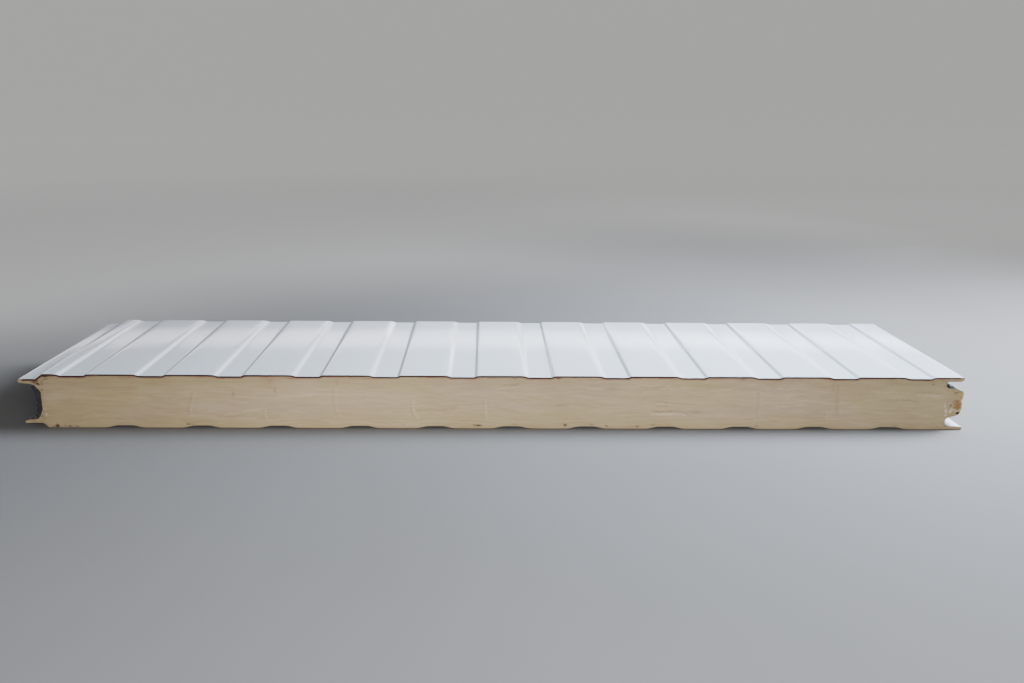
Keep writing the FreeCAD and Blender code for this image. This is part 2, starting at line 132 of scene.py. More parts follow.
# ------------------------------------------------------------------ section paths
def fillet(chain, r, step=13.0):
    out = [np.array(chain[0], float)]
    for i in range(1, len(chain) - 1):
        a, b, c = (np.array(p, float) for p in chain[i - 1:i + 2])
        u, v = a - b, c - b
        lu, lv = np.hypot(*u), np.hypot(*v)
        u, v = u / lu, v / lv
        ang = math.acos(max(-1, min(1, float(u @ v))))
        turn = math.pi - ang
        if turn < 0.03:
            out.append(b)
            continue
        t = min(r / math.tan(ang / 2), 0.46 * lu, 0.46 * lv)
        rr = t * math.tan(ang / 2)
        mid = (u + v) / np.hypot(*(u + v))
        cen = b + mid * rr / math.sin(ang / 2)
        p0 = b + u * t - cen
        sgn = 1.0 if u[0] * v[1] - u[1] * v[0] < 0 else -1.0
        n = max(2, int(math.ceil(math.degrees(turn) / step)))
        for k in range(n + 1):
            a_ = sgn * turn * k / n
            out.append(cen + np.array([p0[0] * math.cos(a_) - p0[1] * math.sin(a_),
                                       p0[0] * math.sin(a_) + p0[1] * math.cos(a_)]))
    out.append(np.array(chain[-1], float))
    keep = [out[0]]
    for p in out[1:]:
        if np.hypot(*(p - keep[-1])) > 0.02:
            keep.append(p)
    return np.array(keep)


def divide(path, step):
    out = [path[0]]
    for a, b in zip(path[:-1], path[1:]):
        n = max(1, int(math.ceil(np.hypot(*(b - a)) / step)))
        out += [a + (b - a) * k / n for k in range(1, n + 1)]
    return np.array(out)


def even(path, step):
    d = np.r_[0, np.cumsum(np.hypot(*np.diff(path, axis=0).T))]
    n = max(2, int(round(d[-1] / step)))
    s = np.linspace(0, d[-1], n + 1)
    return np.c_[np.interp(s, d, path[:, 0]), np.interp(s, d, path[:, 1])]


def normals(path):
    """Unit left normals at the points, and the mitre that keeps an offset's thickness."""
    d = np.diff(path, axis=0)
    d /= np.hypot(d[:, 0], d[:, 1])[:, None]
    n = np.c_[-d[:, 1], d[:, 0]]
    m = np.vstack([n[:1], n[:-1] + n[1:], n[-1:]])
    m /= np.hypot(m[:, 0], m[:, 1])[:, None]
    c = np.r_[1.0, (m[1:-1] * n[1:]).sum(1), 1.0]
    return m, 1.0 / np.clip(c, 0.6, 1.0)


def pchip(xk, yk, x):
    xk, yk = np.array(xk, float), np.array(yk, float)
    h, s = np.diff(xk), np.diff(yk) / np.diff(xk)
    m = np.zeros_like(xk)
    for i in range(1, len(xk) - 1):
        if s[i - 1] * s[i] > 0:
            w1, w2 = 2 * h[i] + h[i - 1], h[i] + 2 * h[i - 1]
            m[i] = (w1 + w2) / (w1 / s[i - 1] + w2 / s[i])
    i = np.clip(np.searchsorted(xk, x) - 1, 0, len(h) - 1)
    t = (x - xk[i]) / h[i]
    return ((1 + 2 * t) * (1 - t) ** 2 * yk[i] + t * (1 - t) ** 2 * h[i] * m[i]
            + t * t * (3 - 2 * t) * yk[i + 1] + t * t * (t - 1) * h[i] * m[i + 1])


def outer_path():
    stations = [-14, -12, -10, -8.2, -6.6, -5.2, -4, -3.1, -2.4, -1.8, -1.2, -.6, 0, .6, 1.2, 1.8, 2.5, 3.3, 4.5,
                7, 10, 13, 16, 19, 22, 24, 25, 25.7, 26.2, 26.6, 27.0, 27.4, 27.8, 28.2, 28.6, 29.0, 29.4, 29.9,
                30.6, 31.5, 33, 35, 38, 41, 45, 49, 53, 57, 61, 64, 66.5]
    xk, yk = [g[0] for g in GROOVE], [g[1] for g in GROOVE]
    pts = []
    for k in range(12):
        for s in stations:
            x = FIRST + PITCH * k + s
            if -480.5 < x < 504.6:
                pts.append((x, TOP + float(pchip(xk, yk, np.array([s]))[0])))
    # the last few millimetres run up to the fold and down to the joint step
    pts[-1] = (pts[-1][0], TOP)
    return np.vstack([fillet(FEMALE_UP + [(-481.4, TOP)], 1.3)[:-1], np.array(pts),
                      fillet([(505.0, TOP)] + MALE_UP, 1.3)[1:]])


def inner_path():
    low = FEMALE_LOW[:]
    for g in LINER:
        low += [(g, 0.0), (g + 9.7, 2.5), (g + 27.9, 2.5), (g + 37.6, 0.0)]
    low += MALE_LOW
    left = fillet(low[:len(FEMALE_LOW)] + [low[len(FEMALE_LOW)]], 1.2)[:-1]
    mid = fillet([(-481.0, 0.0)] + low[len(FEMALE_LOW):-len(MALE_LOW)] + [(507.0, 0.0)], 17.0, 2.6)
    right = fillet([(508.0, 0.0)] + MALE_LOW, 1.2)
    return np.vstack([left, mid, right])


OUT_P = divide(outer_path(), 4.2)
IN_P = divide(inner_path(), 5.0)
n_, k_ = normals(OUT_P)
OUT_N = n_                                               # points away from the foam
OUT_Q = OUT_P - n_ * (k_ * GAUGE)[:, None]
n_, k_ = normals(IN_P)
IN_N = -n_
IN_Q = IN_P - IN_N * (k_ * GAUGE)[:, None]


# ------------------------------------------------------------------ mesh helpers
def make(name, verts, faces, mats, index=None, angle=32.0, attrs=None):
    me = bpy.data.meshes.new(name)
    me.from_pydata([(float(x) * MM, float(y) * MM, float(z) * MM) for x, y, z in verts], [],
                   [tuple(int(i) for i in f) for f in faces])
    for m in mats:
        me.materials.append(m)
    if index is not None:
        me.polygons.foreach_set("material_index", np.asarray(index, np.int32))
    me.polygons.foreach_set("use_smooth", np.ones(len(me.polygons), bool))
    for key, val in (attrs or {}).items():
        a = me.attributes.new(key, "FLOAT", "POINT")
        a.data.foreach_set("value", np.asarray(val, np.float32))
    me.update()
    me.set_sharp_from_angle(angle=math.radians(angle))
    ob = bpy.data.objects.new(name, me)
    bpy.context.scene.collection.objects.link(ob)
    return ob


def rings(step, fine=(0, .35, .9, 1.8, 3.5, 6.5, 11)):
    a = [Y0 + f for f in fine]
    n = int(round((Y1 - Y0 - 2 * fine[-1]) / step))
    b = list(np.linspace(Y0 + fine[-1], Y1 - fine[-1], n + 1)[1:-1])
    return np.array(a + b + [Y1 - f for f in reversed(fine)])


def painted_light_along(x):
    """Painted light and shade along the panel: the paint is made darker towards the female joint and a little towards
    the male one, and brighter in the middle, standing in for the fall of the light along the panel.
    """
    return np.interp(x, [-500, -453, -420, -370, -337, -287, -254, -204, -171, -121, -88, -38, -5, 44, 127, 210, 293, 376, 459, 500],
                     [.76, .77, .785, .825, .92, 0.985, 1.00, 1.04, 1.075, 1.115, 1.14, 1.17, 1.175, 1.165, 1.14, 1.125, 1.07, .99, .93, .92])


def sheet(name, P, Q, N, ys, sag, mats):
    """A rolled sheet: outer skin P, inner skin Q, one ring for each y, closed at its edges and cut ends."""
    n, m = len(P), len(ys)
    verts, d_end, dark_steel_and_shade, joint_shade, fold, painted_slope_highlight, painted_light_gradient = [], [], [], [], [], [], []
    # where the cut edge shows dark steel: the outer facing's top edge, sawn steel partly painted shade, and the liner's
    # lower edge, painted shade along the floor
    black = smooth(0.2, 0.7, N[:, 1] * (P[:, 1] > 53)) * smooth(-507.5, -503.5, P[:, 0]) * smooth(509.0, 505.0, P[:, 0]) \
        + 0.75 * smooth(0.2, 0.7, -N[:, 1] * (P[:, 1] < 7))
    X, Z = P[:, 0], P[:, 1]
    if Z.max() > 50:
        # painted shade in the roots of both joint slots and on the lips beside the gasket
        joint_shade_mask = smooth(505.8, 503.6, X) * (X > 487) * (Z < 57) + 0.70 * (X < -484) * (Z < 53.0)
        s_ = np.mod(X - FIRST, PITCH)
        # painted shade in each narrow fold of the grooves
        fold_shade_mask = smooth(25.6, 27.0, s_) * smooth(31.0, 29.4, s_) * (Z > 57) * (0.50 + 0.50 * smooth(-330, -60, X))
        q_ = np.where(s_ > 60, s_ - PITCH, s_)
        # painted highlight on the right-facing slopes of the grooves
        slope_highlight_mask = smooth(-5.0, -2.0, q_) * smooth(3.0, 1.0, q_) * (Z > 57) * (np.abs(X) < 480)
        # painted light and shade along the top: darker towards the female joint, brighter in the middle
        dust_and_shade = np.where(Z > 53, painted_light_along(X), 1.0)
    else:
        # painted shade in the root of the lower joint slot and on the lip below the gasket
        joint_shade_mask = (0.25 * smooth(506.0, 500.0, X) + 0.72 * smooth(501.0, 496.5, X)) * (X > 485) * (Z > 3.6) \
            + 1.00 * smooth(7.6, 8.6, Z) * (X < -488)
        fold_shade_mask, slope_highlight_mask, dust_and_shade = np.zeros(n), np.zeros(n), np.ones(n)
    for j, y in enumerate(ys):
        dz = sag(P[:, 0], y, P[:, 1])
        yy = np.full(n, y)
        if j == 0:
            yy = yy + 0.06 * np.abs(gnoise(P[:, 0] / 1.7, 0.3, P[:, 1] / 1.7, 5))
        if j == m - 1:
            yy = yy - 0.06 * np.abs(gnoise(P[:, 0] / 1.7, 7.3, P[:, 1] / 1.7, 6))
        verts += [(P[i, 0], yy[i], P[i, 1] + dz[i]) for i in range(n)]
        verts += [(Q[i, 0], yy[i], Q[i, 1] + dz[i]) for i in range(n)]
        d_end += [min(y - Y0, Y1 - y)] * (2 * n)
        dark_steel_and_shade += list(black) * 2
        joint_shade += list(joint_shade_mask) * 2
        # the painted fold shade is weaker and the painted slope highlight stronger across the middle of the top, where
        # the strip lamp is mirrored
        fold += list(fold_shade_mask * (1 - 0.90 * smooth(-28, 0, y) * smooth(98, 78, y))) * 2
        painted_slope_highlight += list(slope_highlight_mask * (0.62 + 0.38 * smooth(-28, 0, y) * smooth(98, 78, y))) * 2
        # painted shade: the top is also made darker towards its back edge, where the strip lamp is mirrored
        painted_light_gradient += list(dust_and_shade * (1 - (0.15 + 0.12 * smooth(-230, -430, X)) * smooth(20, 95, y) * (Z > 53))) * 2
    faces, idx = [], []
    o, q = (lambda j, i: 2 * n * j + i), (lambda j, i: 2 * n * j + n + i)
    flip = N[len(N) // 2][1] < 0
    # painted shade: the roots of both joint slots and the lip below the gasket get a dark mottled material where the
    # lips and the tongue keep the light out
    slot_root_shade = ((X > 487) & (X < 505.6) & (Z < 54.2) & (Z > 40)) | ((X > 487) & (X < 497.2) & (Z > 3.6) & (Z < 13))
    lip_shade = (X < -488) & (Z > 7.8) & (Z < 20)
    for j in range(m - 1):
        for i in range(n - 1):
            faces.append((o(j, i), o(j, i + 1), o(j + 1, i + 1), o(j + 1, i)))
            idx.append(3 if slot_root_shade[i] and slot_root_shade[i + 1] else 4 if lip_shade[i] and lip_shade[i + 1] else 0)
            faces.append((q(j, i + 1), q(j, i), q(j + 1, i), q(j + 1, i + 1))); idx.append(1)
        faces.append((q(j, 0), o(j, 0), o(j + 1, 0), q(j + 1, 0))); idx.append(2)
        faces.append((o(j, n - 1), q(j, n - 1), q(j + 1, n - 1), o(j + 1, n - 1))); idx.append(2)
    for i in range(n - 1):
        faces.append((q(0, i), q(0, i + 1), o(0, i + 1), o(0, i))); idx.append(2)
        faces.append((o(m - 1, i), o(m - 1, i + 1), q(m - 1, i + 1), q(m - 1, i))); idx.append(2)
    if flip:
        faces = [tuple(reversed(f)) for f in faces]
    return make(name, verts, faces, mats, idx, 38.0, {"d_end": d_end, "dark_steel_and_shade": dark_steel_and_shade, "joint_shade": joint_shade, "fold": fold,
                                                      "painted_slope_highlight": painted_slope_highlight, "painted_light_gradient": painted_light_gradient})


# ------------------------------------------------------------------ node helpers
class Nodes:
    def __init__(self, name):
        self.mat = bpy.data.materials.new(name)
        self.mat.use_nodes = True
        self.t = self.mat.node_tree
        self.t.nodes.clear()
        self.out = self.new("ShaderNodeOutputMaterial")
        self.bsdf = self.new("ShaderNodeBsdfPrincipled")
        self.link(self.bsdf.outputs[0], self.out.inputs["Surface"])
        self.tc = self.new("ShaderNodeTexCoord")
        s = self.new("ShaderNodeVectorMath"); s.operation = "SCALE"; s.inputs["Scale"].default_value = 1000.0
        self.link(self.tc.outputs["Object"], s.inputs[0])
        self.p = s.outputs[0]                            # position in millimetres

    def new(self, kind):
        return self.t.nodes.new(kind)

    def link(self, a, b):
        self.t.links.new(a, b)

    def scaled(self, sx, sy, sz, src=None, off=(0, 0, 0)):
        m = self.new("ShaderNodeVectorMath"); m.operation = "MULTIPLY_ADD"
        m.inputs[1].default_value = (sx, sy, sz)
        m.inputs[2].default_value = off
        self.link(src or self.p, m.inputs[0])
        return m.outputs[0]

    def noise(self, vec, scale=1.0, detail=2.0, rough=0.5, dist=0.0):
        n = self.new("ShaderNodeTexNoise")
        n.inputs["Scale"].default_value = scale
        n.inputs["Detail"].default_value = detail
        n.inputs["Roughness"].default_value = rough
        n.inputs["Distortion"].default_value = dist
        self.link(vec, n.inputs["Vector"])
        return n.outputs["Fac"]

    def voronoi(self, vec, scale=1.0, feature="F1", rand=1.0):
        n = self.new("ShaderNodeTexVoronoi")
        n.feature = feature
        n.inputs["Scale"].default_value = scale
        n.inputs["Randomness"].default_value = rand
        self.link(vec, n.inputs["Vector"])
        return n.outputs["Distance"]

    def range(self, v, a, b, c=0.0, d=1.0, kind="SMOOTHSTEP"):
        n = self.new("ShaderNodeMapRange")
        n.interpolation_type = kind
        for k, s in zip(("From Min", "From Max", "To Min", "To Max"), (a, b, c, d)):
            n.inputs[k].default_value = s
        self.link(v, n.inputs["Value"])
        return n.outputs[0]

    def math(self, op, a, b=None, clamp=False):
        n = self.new("ShaderNodeMath"); n.operation = op; n.use_clamp = clamp
        for k, s in enumerate((a, b)):
            if s is None:
                continue
            if isinstance(s, (int, float)):
                n.inputs[k].default_value = s
            else:
                self.link(s, n.inputs[k])
        return n.outputs[0]

    def attr(self, name):
        n = self.new("ShaderNodeAttribute")
        n.attribute_type = "GEOMETRY"
        n.attribute_name = name
        return n.outputs["Fac"]

    def xyz(self, src=None):
        n = self.new("ShaderNodeSeparateXYZ")
        self.link(src or self.p, n.inputs[0])
        return n.outputs

    def ramp(self, v, stops, kind="LINEAR"):
        n = self.new("ShaderNodeValToRGB")
        cr = n.color_ramp
        cr.interpolation = kind
        while len(cr.elements) < len(stops):
            cr.elements.new(0.5)
        for e, (pos, col) in zip(cr.elements, stops):
            e.position = pos
            e.color = (*col, 1.0)
        self.link(v, n.inputs[0])
        return n.outputs["Color"]

    def mix(self, f, a, b, blend="MIX"):
        n = self.new("ShaderNodeMix"); n.data_type = "RGBA"; n.blend_type = blend
        if isinstance(f, (int, float)):
            n.inputs[0].default_value = f
        else:
            self.link(f, n.inputs[0])
        for sock, s in ((n.inputs[6], a), (n.inputs[7], b)):
            if isinstance(s, tuple):
                sock.default_value = (*s, 1.0)
            else:
                self.link(s, sock)
        return n.outputs[2]

    def bump(self, h, dist, strength=1.0, prev=None):
        n = self.new("ShaderNodeBump")
        n.inputs["Strength"].default_value = strength
        n.inputs["Distance"].default_value = dist * MM
        self.link(h, n.inputs["Height"])
        if prev is not None:
            self.link(prev, n.inputs["Normal"])
        return n.outputs[0]

    def set(self, **kw):
        for k, v in kw.items():
            sock = self.bsdf.inputs[k.replace("_", " ")]
            if isinstance(v, (int, float, tuple)):
                sock.default_value = (*v, 1.0) if isinstance(v, tuple) and len(v) == 3 else v
            else:
                self.link(v, sock)


# ------------------------------------------------------------------ materials
def paint(name, base, cool, wear_and_shade_grey):
    """Coil-coated steel: satin off-white with fine orange peel, faint lines along the rolling direction and dust."""
    m = Nodes(name)
    cloud = m.noise(m.scaled(1 / 95, 1 / 60, 1 / 95), detail=3)
    lines = m.noise(m.scaled(1 / 2.6, 1 / 260, 1 / 2.6), detail=3, rough=0.6)
    wide = m.noise(m.scaled(1 / 14, 1 / 420, 1 / 14), detail=2)
    tone = m.math("ADD", m.math("MULTIPLY", cloud, 0.55), m.math("ADD", m.math("MULTIPLY", wide, 0.3),
                                                              m.math("MULTIPLY", lines, 0.15)))
    col = m.ramp(m.range(tone, 0.34, 0.66), [(0.0, cool), (0.55, base), (1.0, tuple(min(1, c * 1.025) for c in base))])
    # dust and small handling marks
    speck = m.voronoi(m.scaled(1, 1, 1), scale=1 / 9.0)
    dots = m.range(speck, 0.035, 0.02)
    gate = m.range(m.noise(m.scaled(1 / 30, 1 / 30, 1 / 30), detail=2), 0.52, 0.62)
    col = m.mix(m.math("MULTIPLY", m.math("MULTIPLY", dots, gate), 0.35), col, tuple(c * 0.55 for c in base))
    rub = m.range(m.noise(m.scaled(1 / 6, 1 / 55, 1 / 6), detail=4, rough=0.65), 0.60, 0.76)
    col = m.mix(m.math("MULTIPLY", rub, 0.10), col, tuple(c * 0.80 for c in wear_and_shade_grey))
    # the saw lifts a hair of paint along both cut ends
    edge = m.attr("d_end")
    nick = m.noise(m.scaled(1 / 1.4, 1 / 0.9, 1 / 1.4), detail=3, rough=0.7)
    lift = m.range(m.math("SUBTRACT", edge, m.math("MULTIPLY", nick, 1.1)), -0.18, -0.34)
    col = m.mix(lift, col, tuple(c * 0.38 for c in wear_and_shade_grey))
    # painted shade, mottled, in the roots of the joint slots and on the lips beside the gasket, and a painted shade in
    # each narrow fold
    film = m.noise(m.scaled(1 / 3.2, 1 / 9, 1 / 3.2), detail=4, rough=0.65)
    joint_shade_tone = m.ramp(film, [(0.30, (0.008, 0.008, 0.009)), (0.50, (0.040, 0.040, 0.036)), (0.64, (0.125, 0.120, 0.105)), (0.76, (0.24, 0.235, 0.21))])
    col = m.mix(m.math("MULTIPLY", m.attr("joint_shade"), 0.94), col, joint_shade_tone)
    # painted light and shade along the panel scale the paint's colour
    graded_col = m.new("ShaderNodeVectorMath"); graded_col.operation = "SCALE"
    m.link(col, graded_col.inputs[0]); m.link(m.attr("painted_light_gradient"), graded_col.inputs["Scale"])
    # painted highlight on the right-facing groove slopes
    col = m.mix(m.math("MULTIPLY", m.attr("painted_slope_highlight"), 0.95), graded_col.outputs[0], (0.94, 0.96, 0.98))
    # painted shade in each narrow fold
    col = m.mix(m.math("MULTIPLY", m.attr("fold"), 0.34), col, tuple(c * 0.30 for c in wear_and_shade_grey))
    m.set(Base_Color=col)
    rough = m.math("ADD", m.range(cloud, 0.3, 0.7, 0.36, 0.44, "LINEAR"), m.math("MULTIPLY", rub, 0.10))
    m.set(Roughness=rough, IOR=1.5, Specular_IOR_Level=0.35, Coat_Weight=1.0, Coat_Roughness=0.06, Coat_IOR=1.45)
    peel = m.noise(m.scaled(1, 1, 1), scale=1 / 0.95, detail=2)
    print_ = m.noise(m.scaled(1, 0.6, 1), scale=1 / 16.0, detail=2)
    b1 = m.bump(print_, 0.024, 1.0)
    b2 = m.bump(lines, 0.006, 1.0, b1)
    m.set(Normal=m.bump(peel, 0.007, 1.0, b2))
    return m.mat


def shade_material(name, lift):
    """Painted shade: a dark mottled material for the shadowed roots of the joint slots and the lip below the gasket."""
    m = Nodes(name)
    film = m.noise(m.scaled(1 / 2.6, 1 / 5, 1 / 2.6), detail=4, rough=0.7)
    g = m.noise(m.scaled(1, 1, 1), scale=1 / 0.6, detail=2)
    col = m.ramp(film, [(p, tuple(c * lift for c in t)) for p, t in (
        (0.32, (0.006, 0.006, 0.006)), (0.47, (0.026, 0.027, 0.023)), (0.58, (0.088, 0.088, 0.076)), (0.72, (0.20, 0.195, 0.17)))])
    m.set(Base_Color=col, Roughness=m.range(g, 0.3, 0.7, 0.78, 0.92), Specular_IOR_Level=0.12, Normal=m.bump(film, 0.25))
    return m.mat


def primer():
    m = Nodes("backing_primer")
    n = m.noise(m.scaled(1 / 12, 1 / 60, 1 / 12), detail=3)
    m.set(Base_Color=m.ramp(n, [(0.3, (0.20, 0.10, 0.075)), (0.7, (0.30, 0.17, 0.13))]), Roughness=m.range(n, 0.3, 0.7, 0.55, 0.7),
          Normal=m.bump(m.noise(m.p, 1 / 0.8, 2), 0.01))
    return m.mat


def cut_steel():
    """The bare edge that the saw leaves: grey steel, heat tint, smeared primer."""
    m = Nodes("sawn_steel_edge")
    fine = m.noise(m.scaled(1 / 0.5, 1 / 0.5, 1 / 0.25), detail=3, rough=0.7)
    heat = m.noise(m.scaled(1 / 26, 1 / 26, 1 / 26), detail=3)
    steel = m.ramp(fine, [(0.25, (0.022, 0.017, 0.017)), (0.75, (0.060, 0.047, 0.045))])
    col = m.mix(m.range(heat, 0.42, 0.62), steel, (0.060, 0.022, 0.020))
    dust_and_shade = m.mix(m.range(fine, 0.3, 0.7), (0.22, 0.175, 0.125), (0.36, 0.31, 0.25))
    # dark steel on the outer facing's top edge, partly painted shade, and on the liner's lower edge, painted shade
    # along the floor
    col = m.mix(m.attr("dark_steel_and_shade"), dust_and_shade, col)
    m.set(Base_Color=col, Metallic=0.25, Roughness=m.range(fine, 0.3, 0.7, 0.42, 0.62),
          Normal=m.bump(fine, 0.05))
    return m.mat


def foam_material():
    """Sawn rigid foam: tan, fine near-horizontal grain, knit lines, red-brown adhesive line under the facing."""
    m = Nodes("rigid_foam")
    x, y, z = m.xyz()
    warp = m.noise(m.scaled(1 / 46, 1 / 46, 1 / 20), detail=2)
    warp2 = m.noise(m.scaled(1 / 150, 1 / 150, 1 / 60), detail=1)
    zz = m.math("ADD", z, m.math("ADD", m.math("MULTIPLY", warp, 9.0), m.math("MULTIPLY", warp2, 16.0)))
    comb = m.new("ShaderNodeCombineXYZ")
    m.link(x, comb.inputs[0]); m.link(y, comb.inputs[1]); m.link(zz, comb.inputs[2])
    wv = comb.outputs[0]
    s1 = m.noise(m.scaled(1 / 26, 1 / 26, 1 / 1.9, wv), detail=3, rough=0.55)
    s2 = m.noise(m.scaled(1 / 9, 1 / 9, 1 / 0.8, wv), detail=2, rough=0.6)
    s3 = m.noise(m.scaled(1 / 60, 1 / 60, 1 / 5.5, wv), detail=2)
    grain = m.noise(m.scaled(1, 1, 1), scale=1 / 0.55, detail=2, rough=0.6)
    cells = m.voronoi(m.scaled(1, 1, 1), scale=1 / 0.6)
    mott = m.noise(m.scaled(1 / 42, 1 / 42, 1 / 24), detail=3)
    hue = m.noise(m.scaled(1 / 90, 1 / 90, 1 / 30, off=(3.1, 0, 7.7)), detail=2)
    # base: pinker in the middle of the core, yellower near the liner
    low = m.range(z, 24.0, 5.0)
    pink, yellow = (0.500, 0.378, 0.254), (0.485, 0.380, 0.212)
    ends = m.range(m.attr("pale"), 0.98, 0.82, 0.0, 0.75)
    high = m.range(z, 40.0, 55.0, 0.0, 0.36)
    warm = m.math("ADD", m.math("MAXIMUM", m.math("MAXIMUM", m.math("MULTIPLY", low, 0.60), high), ends), m.range(hue, 0.36, 0.66, 0.0, 0.70), clamp=True)
    base = m.mix(warm, pink, yellow)
    tone = m.math("ADD", m.math("MULTIPLY", m.math("SUBTRACT", s1, 0.5), 0.68),
                  m.math("ADD", m.math("MULTIPLY", m.math("SUBTRACT", s3, 0.5), 0.46),
                         m.math("ADD", m.math("MULTIPLY", m.math("SUBTRACT", s2, 0.5), 0.34),
                                m.math("ADD", m.math("MULTIPLY", m.math("SUBTRACT", mott, 0.5), 0.42),
                                       m.math("MULTIPLY", m.math("SUBTRACT", grain, 0.5), 0.26)))))
    light = m.math("MAXIMUM", tone, 0.0)
    dark = m.math("MAXIMUM", m.math("MULTIPLY", tone, -1.0), 0.0)
    col = m.mix(m.math("MULTIPLY", light, 0.75, True), base, (0.80, 0.67, 0.51))
    col = m.mix(m.math("MULTIPLY", dark, 0.85, True), col, (0.225, 0.145, 0.084))
    # marks written with the mesh: the foam's own history, with painted shade in pits and notches and painted highlights
    # on the torn tongue's rim and crumbs
    mark = m.attr("mark")
    col = m.mix(m.range(mark, 0.0, 1.0, 0.0, 0.9, "LINEAR"), col, (0.80, 0.69, 0.53))
    col = m.mix(m.range(mark, 0.0, -1.0, 0.0, 0.96, "LINEAR"), col, (0.030, 0.016, 0.011))
    rose = m.attr("rose")
    col = m.mix(m.math("MULTIPLY", rose, 0.50), col, (0.33, 0.165, 0.115))
    amber = m.attr("amber")
    av = m.noise(m.scaled(1, 1, 1), scale=1 / 2.2, detail=3)
    amb = m.ramp(av, [(0.32, (0.27, 0.155, 0.050)), (0.60, (0.40, 0.255, 0.095)), (0.8, (0.52, 0.39, 0.20))])
    col = m.mix(amber, col, amb)
    # adhesive and primer soaked in under the outer facing; the near-black line right under the facing is partly painted
    # shade of the facing's edge
    dt = m.attr("d_top")
    wob = m.noise(m.scaled(1 / 9, 1 / 9, 1 / 4), detail=3)
    wob2 = m.noise(m.scaled(1 / 34, 1 / 34, 1 / 34, off=(0, 4.4, 0)), detail=2)
    red = m.math("MULTIPLY", m.range(dt, 3.4, 1.3), m.range(wob, 0.34, 0.62, 0.30, 1.0))
    red = m.math("MULTIPLY", red, m.range(wob2, 0.38, 0.60, 0.35, 1.0))
    col = m.mix(m.math("MULTIPLY", red, 0.85), col, (0.25, 0.080, 0.068))
    thick = m.math("ADD", dt, m.math("MULTIPLY", m.math("SUBTRACT", wob, 0.5), 0.9))
    col = m.mix(m.math("MULTIPLY", m.range(thick, 1.80, 0.75), 0.96), col, (0.030, 0.013, 0.014))
    db = m.attr("d_bot")
    col = m.mix(m.math("MULTIPLY", m.range(db, 0.9, 0.1), 0.30), col, (0.12, 0.075, 0.045))
    # brightness along the core, partly painted light, and darker towards the top
    tint = m.new("ShaderNodeVectorMath"); tint.operation = "SCALE"
    m.link(col, tint.inputs[0]); m.link(m.math("MULTIPLY", m.attr("pale"), m.range(z, 38.0, 55.0, 1.0, 0.90)), tint.inputs["Scale"])
    m.set(Base_Color=tint.outputs[0], Roughness=m.range(grain, 0.3, 0.7, 0.86, 0.97), Specular_IOR_Level=0.22)
    h = m.math("ADD", m.math("MULTIPLY", s1, 0.55), m.math("ADD", m.math("MULTIPLY", s2, 0.30), m.math("MULTIPLY", cells, 0.16)))
    b1 = m.bump(h, 0.30, 1.0)
    rag = m.math("MULTIPLY", m.noise(m.scaled(1, 1, 1), scale=1 / 1.3, detail=4, rough=0.7), m.attr("torn"))
    m.set(Normal=m.bump(rag, 0.9, 1.0, b1))
    return m.mat


def gasket_material():
    m = Nodes("joint_gasket_foam")
    pores = m.voronoi(m.scaled(1, 1, 1), scale=1 / 0.8)
    n = m.noise(m.scaled(1 / 14, 1 / 30, 1 / 8), detail=4)
    g = m.noise(m.scaled(1, 1, 1), scale=1 / 0.5, detail=2)
    tone = m.math("ADD", m.math("MULTIPLY", n, 0.6), m.math("MULTIPLY", g, 0.4))
    col = m.ramp(tone, [(0.3, (0.017, 0.017, 0.018)), (0.7, (0.058, 0.056, 0.058))])
    col = m.mix(m.range(pores, 0.16, 0.05, 0.0, 0.7), col, (0.006, 0.006, 0.006))
    dust_and_shade = m.range(m.noise(m.scaled(1 / 5, 1 / 5, 1 / 5), detail=4, rough=0.7), 0.58, 0.74)
    col = m.mix(m.math("MULTIPLY", dust_and_shade, 0.38), col, (0.17, 0.145, 0.11))
    m.set(Base_Color=col, Roughness=m.range(g, 0.3, 0.7, 0.80, 0.95), Specular_IOR_Level=0.3)
    b1 = m.bump(pores, 0.35, 1.0)
    m.set(Normal=m.bump(n, 0.5, 1.0, b1))
    return m.mat


OUT_PAINT = paint("outer_paint", (0.730, 0.798, 0.875), (0.700, 0.774, 0.862), (0.60, 0.60, 0.60))
IN_PAINT = paint("inner_paint", (0.80, 0.83, 0.86), (0.765, 0.80, 0.84), (0.60, 0.60, 0.60))
PRIMER, STEEL = primer(), cut_steel()
SLOT_SHADE_MAT, LIP_SHADE_MAT = shade_material("slot_painted_shade", 1.0), shade_material("lip_painted_shade", 2.6)
FOAM, RUBBER = foam_material(), gasket_material()


# ------------------------------------------------------------------ the two facings
def sag_outer(x, y, z):
    """Slight oil-canning of the flat bands, always downward and nothing at the cut ends."""
    fade = smooth(0.0, 26.0, min(y - Y0, Y1 - y)) * smooth(55.5, 58.0, z)
    a = 0.5 + 0.5 * np.clip(fbm(x / 55.0, y / 130.0, 0.4, 21, 2), -1, 1)
    return -0.045 * a * fade


def sag_inner(x, y, z):
    fade = smooth(0.0, 26.0, min(y - Y0, Y1 - y)) * smooth(3.2, 2.0, z) * smooth(0.0, 1.5, z)
    return 0.05 * np.clip(fbm(x / 50.0, y / 70.0, 3.4, 33, 2), -1, 1) * fade


outer = sheet("outer_facing", OUT_P, OUT_Q, OUT_N, rings(7.5), sag_outer, [OUT_PAINT, PRIMER, STEEL, SLOT_SHADE_MAT])
inner = sheet("inner_facing", IN_P, IN_Q, IN_N, rings(9.0), sag_inner, [IN_PAINT, PRIMER, STEEL, SLOT_SHADE_MAT, LIP_SHADE_MAT])


